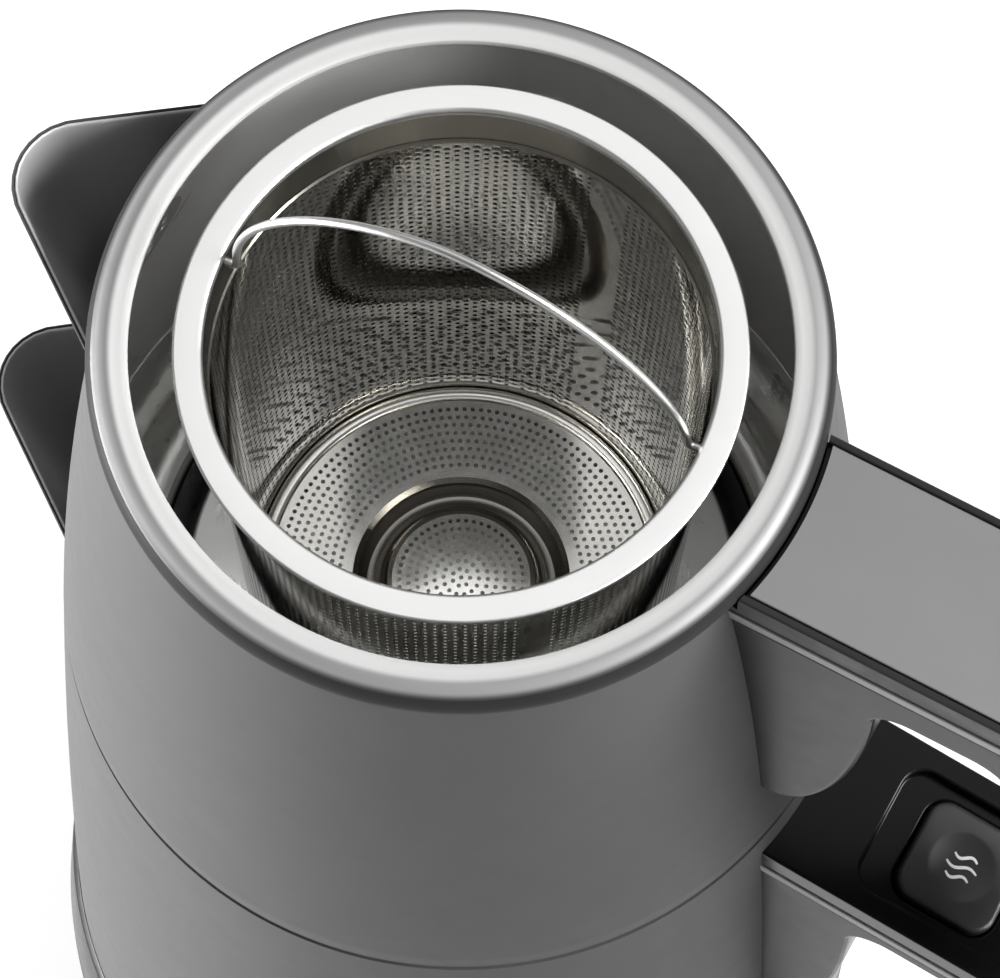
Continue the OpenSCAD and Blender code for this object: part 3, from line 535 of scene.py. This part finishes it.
# ---------------------------------------------------------------- handles
# FRAME_D and BAND_D are depths below the outer contour, where the frame and the bright band end
CORNER, FRAME_D, BAND_D, GRIP_T, GAP_R, ROOT_D = 18.0, 5.6, 8.0, 21.0, 6.0, 13.5
POT_W, POT_BAND_W, KET_W, KET_BAND_W = 28.4, 29.0, 29.6, 30.2


def grip_point(centre, r, lean, z):
    return (centre[0] + r / math.cos(lean) + (centre[1] - z) * math.tan(lean), z)


def bar(centre, slope, lean, d0, d1, foot, reach):
    """Layer of arm and grip between two depths, seen from the side."""
    n = (math.sin(slope), math.cos(slope))
    along = (-math.cos(slope), math.sin(slope))
    r0, r1 = CORNER - d0, CORNER - d1
    top, low = 90 - math.degrees(slope), math.degrees(lean)

    def start(r):
        return (centre[0] + r * n[0] + reach * along[0], centre[1] + r * n[1] + reach * along[1])
    return ([start(r0)] + arc(centre, r0, top, low) + [grip_point(centre, r0, lean, foot)]
            + [grip_point(centre, r1, lean, foot)] + arc(centre, r1, low, top) + [start(r1)])


def core(centre, slope, lean, arm_t, root_x, root_foot, root_neck, foot, reach):
    """Arm, grip, finger gap and root block as one outline, seen from the side."""
    inner = CORNER - BAND_D
    n = (math.sin(slope), math.cos(slope))
    top, low = 90 - math.degrees(slope), math.degrees(lean)
    under = (centre[0] + (CORNER - arm_t) * n[0], centre[1] + (CORNER - arm_t) * n[1])

    def z_under(x):
        return under[1] - (x - under[0]) * math.tan(slope)
    a, b, k = CORNER - arm_t - GAP_R, CORNER - GRIP_T - GAP_R, math.cos(slope + lean)
    near_grip = (centre[0] + (b * math.cos(slope) - a * math.sin(lean)) / k,
                 centre[1] + (a * math.cos(lean) - b * math.sin(slope)) / k)
    near_root = (root_x + GAP_R, z_under(root_x + GAP_R) - GAP_R / math.cos(slope))
    mid = (root_x - ROOT_D, z_under(root_x) - root_neck)
    start = (centre[0] + inner * n[0] - reach * math.cos(slope), centre[1] + inner * n[1] + reach * math.sin(slope))
    root = [(mid[0] + ROOT_D * math.cos(t), mid[1] - (mid[1] - root_foot) * math.sin(t))
            for t in [math.pi / 2 * i / 24 for i in range(25)]]
    return ([start] + arc(centre, inner, top, low)
            + [grip_point(centre, inner, lean, foot), grip_point(centre, CORNER - GRIP_T, lean, foot)]
            + arc(near_grip, GAP_R, low, top, 12) + arc(near_root, GAP_R, top, 180, 12)
            + root + [(mid[0] - 25, root_foot)])


def vessel(name, radius, z0, z1, lip=False):
    """Solid that fills a vessel out to its skin, to cut a handle to the wall."""
    side = [(radius(z0 + (z1 - z0) * k / 24), z0 + (z1 - z0) * k / 24) for k in range(25)]
    if lip:
        side += [(LIP_OUT + 0.25, NECK_Z - 1), (LIP_OUT + 0.25, LIP_TOP + 10)]
    top = side[-1][1]
    return lathe(name, [(0, z0)] + side + [(0, top)], 256)


POT_OUT, POT_TOP, KET_OUT, KET_DROP = 116, 287, 127, 7.5
POT_CORNER = (POT_OUT - CORNER, POT_TOP - CORNER)
KET_CORNER = (KET_OUT - CORNER,
              SEAM_Z - KET_DROP - CORNER / math.cos(SLOPE) - (KET_OUT - CORNER - SEAM_R) * math.tan(SLOPE))
POT_REACH, KET_REACH = POT_CORNER[0] - 45, (KET_CORNER[0] - 52) / math.cos(SLOPE)
POT_GRIP, KET_GRIP = SEAM_Z + 12, 62.0

pot_cut = vessel("pot_cut", teapot_r, 150, NECK_Z, True)
ket_cut = vessel("ket_cut", kettle_r, 40, SEAM_Z)


def handle_piece(name, outline, width, edge, cutters, material, body, slot, node, extra=()):
    obj = prism(name, outline, width)
    carve(obj, *extra)
    bevel(obj, edge)
    carve(obj, *cutters, keep=True)
    soften(obj, 28)
    flat = obj.modifiers.new("flat", "WEIGHTED_NORMAL")
    flat.keep_sharp = True
    flat.weight = 90
    return put(apply_modifiers(obj), material, body, slot, node)


def pot_bar(d0, d1, foot=POT_GRIP):
    return bar(POT_CORNER, 0, POT_LEAN, d0, d1, foot, POT_REACH)


def ket_bar(d0, d1):
    return bar(KET_CORNER, SLOPE, KET_LEAN, d0, d1, KET_GRIP, KET_REACH)


PLATE_FOOT = POT_GRIP + 8
handle_piece("teapot_handle_core", core(POT_CORNER, 0, POT_LEAN, 18, 74.5, 209, 6.5, POT_GRIP, POT_REACH), POT_W,
             1.3, (pot_cut,), GLOSS, "teapot", "gloss_black", "teapot_handle_body")
handle_piece("teapot_handle_band", pot_bar(FRAME_D, BAND_D), POT_BAND_W, 0.35,
             (pot_cut,), TRIM, "teapot", "plain_steel", "teapot_handle_trim")
handle_piece("teapot_handle_surround", pot_bar(0, FRAME_D), POT_W, 0.45,
             (pot_cut,), BLACK, "teapot", "black_plastic", "teapot_handle_frame",
             (prism("cut", pot_bar(-2, 1.6, PLATE_FOOT), 25.8),))
plate_cut = vessel("plate_cut", lambda z: teapot_r(min(z, NECK_Z)), 150, NECK_Z, True)
plate_cut.scale = (1.013, 1.013, 1)
bpy.context.view_layer.update()
handle_piece("teapot_handle_cover", pot_bar(0.0, 1.55, PLATE_FOOT + 0.1), 25.6, 0.3,
             (plate_cut,), PLATE, "teapot", "satin_grey_coat", "teapot_handle_plate")


BUTTON_X, BUTTON_W, BUTTON_CORNER, BUTTON_TOP = 90.6, 17.4, 3.5, -0.6
DISH_R, DISH_DEPTH = 5.7, 0.7


def arm_matrix():
    """Arm's own frame: origin at the button's centre on the arm's top face, z square to that face."""
    top = (KET_CORNER[0] + CORNER * math.sin(SLOPE), KET_CORNER[1] + CORNER * math.cos(SLOPE))
    z = top[1] - (BUTTON_X - top[0]) * math.tan(SLOPE)
    return Matrix.Translation((BUTTON_X * MM, 0, z * MM)) @ Matrix.Rotation(SLOPE, 4, "Y")


ARM = arm_matrix()


def rounded_rect(length, width, r, n=12):
    pts = []
    for sx, sy, a0 in ((1, 1, 0), (-1, 1, 90), (-1, -1, 180), (1, -1, 270)):
        pts += arc((sx * (length / 2 - r), sy * (width / 2 - r)), r, a0, a0 + 90, n)
    return pts


def block(name, length, width, r, z0, z1, dx=0.0):
    pts = rounded_rect(length, width, r)
    n = len(pts)
    verts = [(x + dx, y, z0) for x, y in pts] + [(x + dx, y, z1) for x, y in pts]
    faces = [[k, (k + 1) % n, n + (k + 1) % n, n + k] for k in range(n)]
    faces += [list(range(n))[::-1], list(range(n, 2 * n))]
    obj = outward(from_mm(name, verts, faces))
    obj.data.transform(ARM)
    return obj


WELL, WELL_CORNER, WELL_FLOOR = BUTTON_W + 0.7, 3.85, -11.6


def well(top):
    return block("cut", WELL, WELL, WELL_CORNER, WELL_FLOOR, top)


handle_piece("kettle_handle_core", core(KET_CORNER, SLOPE, KET_LEAN, 13, 79, 92, 11, KET_GRIP, KET_REACH), KET_W,
             1.3, (ket_cut,), GLOSS, "kettle", "gloss_black", "kettle_handle_body", (well(2),))
handle_piece("kettle_handle_band", ket_bar(FRAME_D, BAND_D), KET_BAND_W, 0.35,
             (ket_cut,), TRIM, "kettle", "plain_steel", "kettle_handle_trim", (well(2),))
handle_piece("kettle_handle_cover", ket_bar(0, FRAME_D), KET_W, 0.5,
             (ket_cut,), PIANO, "kettle", "gloss_black", "kettle_handle_top",
             (block("cut", 30, 22, 4, -2.4, 3, 0.4), well(3)))
for c in (pot_cut, ket_cut, plate_cut):
    bpy.data.objects.remove(c)


# ---------------------------------------------------------------- button
def dish(rho):
    """Height of the button's hollow at a distance from its centre."""
    if rho > 6.5:
        return 0.0
    ball = (DISH_R ** 2 + DISH_DEPTH ** 2) / (2 * DISH_DEPTH)
    raw = math.sqrt(max(ball ** 2 - rho ** 2, 0)) - (ball - DISH_DEPTH) if rho < DISH_R else 0.0
    soft = 0.5 * (1 + math.cos(math.pi * min(max((rho - 5.0) / 1.5, 0), 1)))
    return -max(raw, 0.05 * soft)


def button():
    n = 96
    flat = BUTTON_W / 2 - BUTTON_CORNER
    rect = []
    for k in range(n):
        a = TAU * k / n
        c, s = math.cos(a), math.sin(a)
        lo, hi = 0.0, 20.0
        for _ in range(40):
            m = (lo + hi) / 2
            qx, qy = abs(m * c) - flat, abs(m * s) - flat
            d = math.hypot(max(qx, 0), max(qy, 0)) + min(max(qx, qy), 0) - BUTTON_CORNER
            lo, hi = (m, hi) if d < 0 else (lo, m)
        rect.append((lo, c, s))
    top = BUTTON_TOP
    rings = [[(0, 0, top + dish(0))] * n]
    for rho in (0.6, 1.2, 1.9, 2.6, 3.3, 4.0, 4.6, 5.1, 5.45, 5.7, 6.0, 6.5):
        rings.append([(rho * c, rho * s, top + dish(rho)) for _, c, s in rect])
    for off, z in ((1.6, 0), (0.9, 0), (0.62, -0.03), (0.3, -0.16), (0.1, -0.36), (0.0, -0.65), (0, -3.4)):
        rings.append([(max(q - off, 6.6) * c, max(q - off, 6.6) * s, top + z) for q, c, s in rect])
    rings.append([(2 * c, 2 * s, top - 3.4) for _, c, s in rect])
    rings.append([(2 * c, 2 * s, top - 6.4) for _, c, s in rect])
    rings.append([(0, 0, top - 6.4)] * n)
    verts = [v for ring in rings for v in ring]
    faces = []
    for i in range(len(rings) - 1):
        faces += [[i * n + k, i * n + (k + 1) % n, (i + 1) * n + (k + 1) % n, (i + 1) * n + k] for k in range(n)]
    obj = outward(from_mm("steam_button_cap", verts, faces))
    obj.data.transform(ARM)
    return soften(obj, 35)


put(button(), BUTTON, "button", "button_plastic", "steam_button")


def steam_mark():
    """Three rising wisps, drawn as thin raised ribbons in the button's hollow."""
    verts, faces = [], []
    for dy, length in ((-1.75, 2.0), (0.0, 2.7), (1.75, 2.0)):
        path = []
        for k in range(17):
            t = k / 16
            path.append((mix(length, -length, t), dy + 0.5 * math.sin(TAU * t)))
        for j in range(len(path)):
            p, q = path[max(j - 1, 0)], path[min(j + 1, 16)]
            d = Vector((q[0] - p[0], q[1] - p[1])).normalized()
            w = 0.27 * math.sin(math.pi * (0.12 + 0.76 * j / 16)) ** 0.5
            for side, lift in ((-1, 0.0), (-0.6, 0.045), (0.6, 0.045), (1, 0.0)):
                x, y = path[j][0] - d.y * w * side, path[j][1] + d.x * w * side
                verts.append((x, y, BUTTON_TOP + dish(math.hypot(x, y)) + lift + 0.004))
            if j:
                a = len(verts) - 8
                faces += [[a + i, a + i + 1, a + 5 + i, a + 4 + i] for i in range(3)]
                faces.append([a, a + 4, a + 7, a + 3])
            if j in (0, 16):
                a = len(verts) - 4
                faces.append([a, a + 1, a + 2, a + 3] if j else [a + 3, a + 2, a + 1, a])
    obj = outward(from_mm("button_steam_mark", verts, faces))
    obj.data.transform(ARM)
    return soften(obj, 35)


put(steam_mark(), MARK, "button", "button_plastic")


# ---------------------------------------------------------------- strainer
PITCH_Z, COLUMNS, HOLE_R = 1.6, 158, 0.42
WALL_Z0, ROWS = 189.9, 55
WALL_Z1 = WALL_Z0 + ROWS * PITCH_Z


def columns_near(angle, half):
    return [c for c in range(COLUMNS)
            if abs((c * 360 / COLUMNS + BASKET_TURN_DEG - angle + 180) % 360 - 180) < half]


# The sheet is rolled and spot-welded along two plain seams
PLAIN = columns_near(82.5, 4.2) + columns_near(315, 3.2)


def wall_sector(name, c0, c1):
    """Drilled sheet: hexagonal holes in columns that are offset by half a pitch."""
    half = PITCH_Z / 2
    nz = 2 * ROWS + 1
    step = TAU / COLUMNS
    verts, faces = [], []

    def point(phi, z, back):
        r = basket_r(z) + (SHEET if back else 0)
        a = phi + BASKET_TURN
        verts.append((r * math.cos(a), r * math.sin(a), z))
        return len(verts) - 1
    grid = {}
    for back in (0, 1):
        for j in range(c1 - c0 + 1):
            for i in range(nz):
                grid[back, j, i] = point((c0 + j - 0.5) * step, WALL_Z0 + i * half, back)

    def quad(back, a, b, c, d):
        faces.append([a, b, c, d] if back else [d, c, b, a])

    def plain_cell(j, i0, i1):
        for back in (0, 1):
            for i in range(i0, i1):
                quad(back, grid[back, j, i], grid[back, j + 1, i], grid[back, j + 1, i + 1], grid[back, j, i + 1])
    for c in range(c0, c1):
        j = c - c0
        if c in PLAIN:
            plain_cell(j, 0, nz - 1)
            continue
        odd = c % 2
        if odd:
            plain_cell(j, 0, 1)
            plain_cell(j, nz - 2, nz - 1)
        for k in range(ROWS - odd):
            i = 2 * k + odd
            z = WALL_Z0 + (i + 1) * half
            rings = []
            for back in (0, 1):
                hole = []
                for a in (-120, -60, 0, 60, 120, 180):
                    dz = HOLE_R * math.sin(math.radians(a))
                    dphi = HOLE_R * math.cos(math.radians(a)) / basket_r(z)
                    hole.append(point(c * step + dphi, z + dz, back))
                g = [grid[back, j, i], grid[back, j + 1, i], grid[back, j + 1, i + 1],
                     grid[back, j + 1, i + 2], grid[back, j, i + 2], grid[back, j, i + 1]]
                for q in range(6):
                    w = (q + 1) % 6
                    quad(back, g[q], g[w], hole[w], hole[q])
                rings.append(hole)
            for q in range(6):
                w = (q + 1) % 6
                faces.append([rings[0][q], rings[0][w], rings[1][w], rings[1][q]])
    ends = c1 - c0
    for i in range(nz - 1):
        faces.append([grid[0, 0, i], grid[0, 0, i + 1], grid[1, 0, i + 1], grid[1, 0, i]])
        faces.append([grid[0, ends, i + 1], grid[0, ends, i], grid[1, ends, i], grid[1, ends, i + 1]])
    for j in range(ends):
        faces.append([grid[0, j, 0], grid[1, j, 0], grid[1, j + 1, 0], grid[0, j + 1, 0]])
        t = nz - 1
        faces.append([grid[0, j, t], grid[0, j + 1, t], grid[1, j + 1, t], grid[1, j, t]])
    return soften(from_mm(name, verts, faces), 30)


cuts = [0, 40, 79, 119, COLUMNS]
for k in range(4):
    sector = wall_sector("strainer_mesh_%d" % (k + 1), cuts[k], cuts[k + 1])
    put(sector, STRAINER, "basket", "strainer_steel", "basket_wall")

top_z = FLANGE_Z - 0.9
rim = [(basket_r(WALL_Z1), WALL_Z1), (basket_r(278.4), 278.4), (basket_r(278.7) - 0.3, 278.7),
       (basket_r(279.2) - 0.3, 279.2), (basket_r(279.5), 279.5), (basket_r(top_z), top_z),
       (basket_r(top_z) + SHEET, top_z), (basket_r(279.5) + SHEET, 279.5),
       (basket_r(279.2) + SHEET - 0.25, 279.2), (basket_r(278.7) + SHEET - 0.25, 278.7),
       (basket_r(278.4) + SHEET, 278.4), (basket_r(WALL_Z1) + SHEET, WALL_Z1)]
rim = lathe("strainer_top_band", rim)
hole = rod("cut", -60, 60, 0.85, PIVOT_Z, 32)
hole.rotation_euler.z = BASKET_TURN
bpy.context.view_layer.update()
carve(rim, hole)
put(soften(rim), BAND, "basket", "strainer_steel", "basket_wall")
foot = lathe("strainer_foot_band", [(basket_r(z) + o, z) for z, o in (
    (183.5, 0), (WALL_Z0, 0), (WALL_Z0, SHEET), (185.5, SHEET), (183.9, SHEET + 0.1), (183.5, SHEET))])
put(foot, STRAINER, "basket", "strainer_steel", "basket_wall")

flange = lathe("strainer_flange", fillet([
    (FLANGE_IN - 0.05, FLANGE_Z - 1.6, 0.1), (FLANGE_IN - 0.05, FLANGE_Z, 0.9), (FLANGE_OUT, FLANGE_Z, 0.42),
    (FLANGE_OUT, FLANGE_Z - 0.9, 0.42), (FLANGE_IN + 0.9, FLANGE_Z - 0.9, 0.4),
    (FLANGE_IN + 0.6, FLANGE_Z - 1.6, 0.1)]))
put(flange, FLANGE, "basket", "strainer_steel", "basket_flange")


def drilled_disc(rings, r_in, r_out, hole_r, z):
    """Flat sheet between two radii with rings of holes; returns mm vertices and faces."""
    coords, polys = [], []
    n = 128
    for r in (r_in, r_out) if r_in else (r_out,):
        polys.append([len(coords) + k for k in range(n)])
        coords += [(r * math.cos(TAU * k / n), r * math.sin(TAU * k / n)) for k in range(n)]
    outer = len(polys) - 1
    for i, (r, count) in enumerate(rings):
        for h in range(count):
            a = TAU * (h + 0.5 * (i % 2)) / count
            c = (r * math.cos(a), r * math.sin(a))
            polys.append([len(coords) + k for k in range(8)])
            coords += [(c[0] + hole_r * math.cos(TAU * k / 8), c[1] + hole_r * math.sin(TAU * k / 8))
                       for k in range(8)]
    out = delaunay_2d_cdt([Vector(c) for c in coords], [], polys, 1, 1e-5)
    pts, tris, origin = out[0], out[2], out[5]
    keep = [t for t, o in zip(tris, origin) if list(o) == [outer]]
    top = [(p.x, p.y, z) for p in pts]
    low = [(p.x, p.y, z - SHEET) for p in pts]
    n = len(pts)
    faces = [list(t) for t in keep] + [[v + n for v in t[::-1]] for t in keep]
    seen = {}
    for t in keep:
        for k in range(len(t)):
            e = (t[k], t[(k + 1) % len(t)])
            seen[e] = True
    for a, b in list(seen):
        if (b, a) not in seen:
            faces.append([b, a, a + n, b + n])
    return top + low, faces


BOTTOM_HOLE_R, MOAT_IN, MOAT_OUT, DOME = 0.37, 11.0, 17.3, 0.8
outer_rows = [(r, round(TAU * r / 1.32)) for r in [28.9 - 1.364 * k for k in range(8)]]
inner_rows = [(1.41 * k, 7 * k) for k in range(1, 8)]
v1, f1 = drilled_disc(outer_rows, MOAT_OUT, 30.6, BOTTOM_HOLE_R, PLATE_Z)
outer_plate = soften(outward(from_mm("strainer_bottom_ring", v1, f1)), 30)
put(outer_plate, PLATE_STEEL, "basket", "strainer_steel", "basket_bottom")
v2, f2 = drilled_disc([(0.0, 1)] + inner_rows, 0, MOAT_IN, BOTTOM_HOLE_R, PLATE_Z)
v2 = [(x, y, z + DOME * (1 - (x * x + y * y) / MOAT_IN ** 2)) for x, y, z in v2]
inner_plate = soften(outward(from_mm("strainer_bottom_disc", v2, f2)), 30)
put(inner_plate, PLATE_STEEL, "basket", "strainer_steel", "basket_bottom")
z = PLATE_Z
moat_top = [(MOAT_IN, z), (11.7, z - 0.12), (12.2, z - 0.6), (12.5, z - 1.6), (12.9, z - 2.7), (13.6, z - 3.3),
            (14.3, z - 3.45), (15.1, z - 3.3), (15.8, z - 2.6), (16.2, z - 1.5), (16.5, z - 0.6), (MOAT_OUT, z)]
moat_low = [(r, zz - SHEET) for r, zz in moat_top[::-1]]
moat = lathe("strainer_bottom_channel", moat_top + moat_low, 128)
put(moat, CHANNEL_SHADE, "basket", "strainer_steel", "basket_bottom")
edge_r = basket_r(PLATE_Z)
bead = lathe("strainer_bottom_bead", [(edge_r - 1.3 + 1.25 * math.cos(a), PLATE_Z - 0.35 + 0.95 * math.sin(a))
                                      for a in [TAU * k / 20 for k in range(20)]])
put(bead, PLATE_STEEL, "basket", "strainer_steel", "basket_bead")

# ---------------------------------------------------------------- bail
BAIL_R, BEND, POWER, SKEW = 34.6, 1.2, 1.11, 3.2


def bail_points():
    """Path of the wire, from head to head over the arch, whose crown leans by SKEW."""
    head_x = basket_r(PIVOT_Z) + SHEET + 0.35
    leg = [(head_x, 0.0), (BAIL_R + BEND + 0.4, 0.0)]
    leg += [(BAIL_R + BEND - BEND * math.sin(a), BEND - BEND * math.cos(a)) for a in
            [math.pi / 2 * k / 8 for k in range(9)]]
    arch = []
    for k in range(1, 96):
        c, rise = math.cos(math.pi * k / 96), math.sin(math.pi * k / 96) ** POWER
        arch.append((math.copysign(BAIL_R * abs(c) ** POWER, c) - SKEW * rise, BEND + BAIL_R * rise))
    full = leg + arch + [(-x, w) for x, w in leg[::-1]]
    c, s = math.cos(BASKET_TURN), math.sin(BASKET_TURN)
    return [(x * c, x * s, PIVOT_Z + w) for x, w in full]


bail = tube("strainer_bail", bail_points(), 0.65, 20, ball=0.95)
put(bail, WIRE, "bail", "strainer_steel", "basket_bail")

# ---------------------------------------------------------------- CAD solids that stay
KEPT = {
    BLACK: ("base_bottom_plate", "base_connector", "base_cord_inlet", "kettle_bottom_cover", "kettle_connector",
            "button_switch"),
    RUBBER: ("base_feet",),
    BRASS: ("base_contacts",),
    STEEL: ("base_screws", "kettle_spout_filter", "kettle_cover_screws", "heating_element",
            "kettle_handle_screws", "button_spring", "teapot_spout_filter", "teapot_handle_screws"),
    ALU: ("heat_spreader", "boil_sensor"),
}
for material, names in KEPT.items():
    for node_name in names:
        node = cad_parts[node_name]
        node.data.materials.clear()
        node.data.materials.append(material)

# ---------------------------------------------------------------- floor and light
g = Graph("pale_floor")
pos = g.add("ShaderNodeTexCoord").outputs["Object"]
cloud = g.add("ShaderNodeTexNoise", {"Vector": pos, "Scale": 3.0, "Detail": 3.0})
tone = g.blend(cloud.outputs[0], (0.3, 0.3, 0.3, 1), (0.33, 0.33, 0.33, 1))
sh = g.add("ShaderNodeBsdfPrincipled", {"Base Color": tone, "Roughness": 0.8, "Specular IOR Level": 0.2,
                                        "Emission Color": (1, 1, 1, 1), "Emission Strength": 0.72})
g.tree.links.new(sh.outputs[0], g.add("ShaderNodeOutputMaterial").inputs[0])
EDGE = 20000
ground = from_mm("ground", [(-EDGE, -EDGE, 0), (EDGE, -EDGE, 0), (EDGE, EDGE, 0), (-EDGE, EDGE, 0)],
                 [[0, 1, 2, 3]])
ground.data.materials.append(g.mat)

world = bpy.data.worlds.new("world")
scene.world = world
world.use_nodes = True
# Pale near the horizon, so that it meets the floor, and greyer overhead
sky = world.node_tree.nodes
glow = sky.new("ShaderNodeMapRange")
glow.interpolation_type = "SMOOTHSTEP"
for k, v in enumerate((0.0, 0.22, 0.8, 0.2)):
    glow.inputs[k + 1].default_value = v
height = sky.new("ShaderNodeSeparateXYZ")
world.node_tree.links.new(sky.new("ShaderNodeTexCoord").outputs["Generated"], height.inputs[0])
world.node_tree.links.new(height.outputs[2], glow.inputs[0])
world.node_tree.links.new(glow.outputs[0], sky["Background"].inputs[1])
sky["Background"].inputs[0].default_value = (1, 1, 1, 1)


def softbox(name, where, at, width, height, power):
    light = bpy.data.lights.new(name, "AREA")
    light.shape = "RECTANGLE"
    light.size, light.size_y = width, height
    light.energy = power
    obj = bpy.data.objects.new(name, light)
    scene.collection.objects.link(obj)
    obj.location = where
    obj.rotation_euler = (Vector(at) - Vector(where)).to_track_quat("-Z", "Y").to_euler()


softbox("overhead", (-0.3, 0.68, 1.7), (0, 0.1, 0.2), 1.8, 1.9, 11)
softbox("left", (-1.15, -0.62, 0.11), (0, 0, 0.14), 1.0, 0.22, 100)
softbox("right_high", (1.0, 0.25, 1.1), (0, 0, 0.25), 0.7, 0.5, 45)
softbox("right_low", (1.4, 0.1, 0.4), (0, 0, 0.2), 0.35, 0.8, 14)
scene.view_settings.view_transform = "Standard"
scene.view_settings.look = "None"
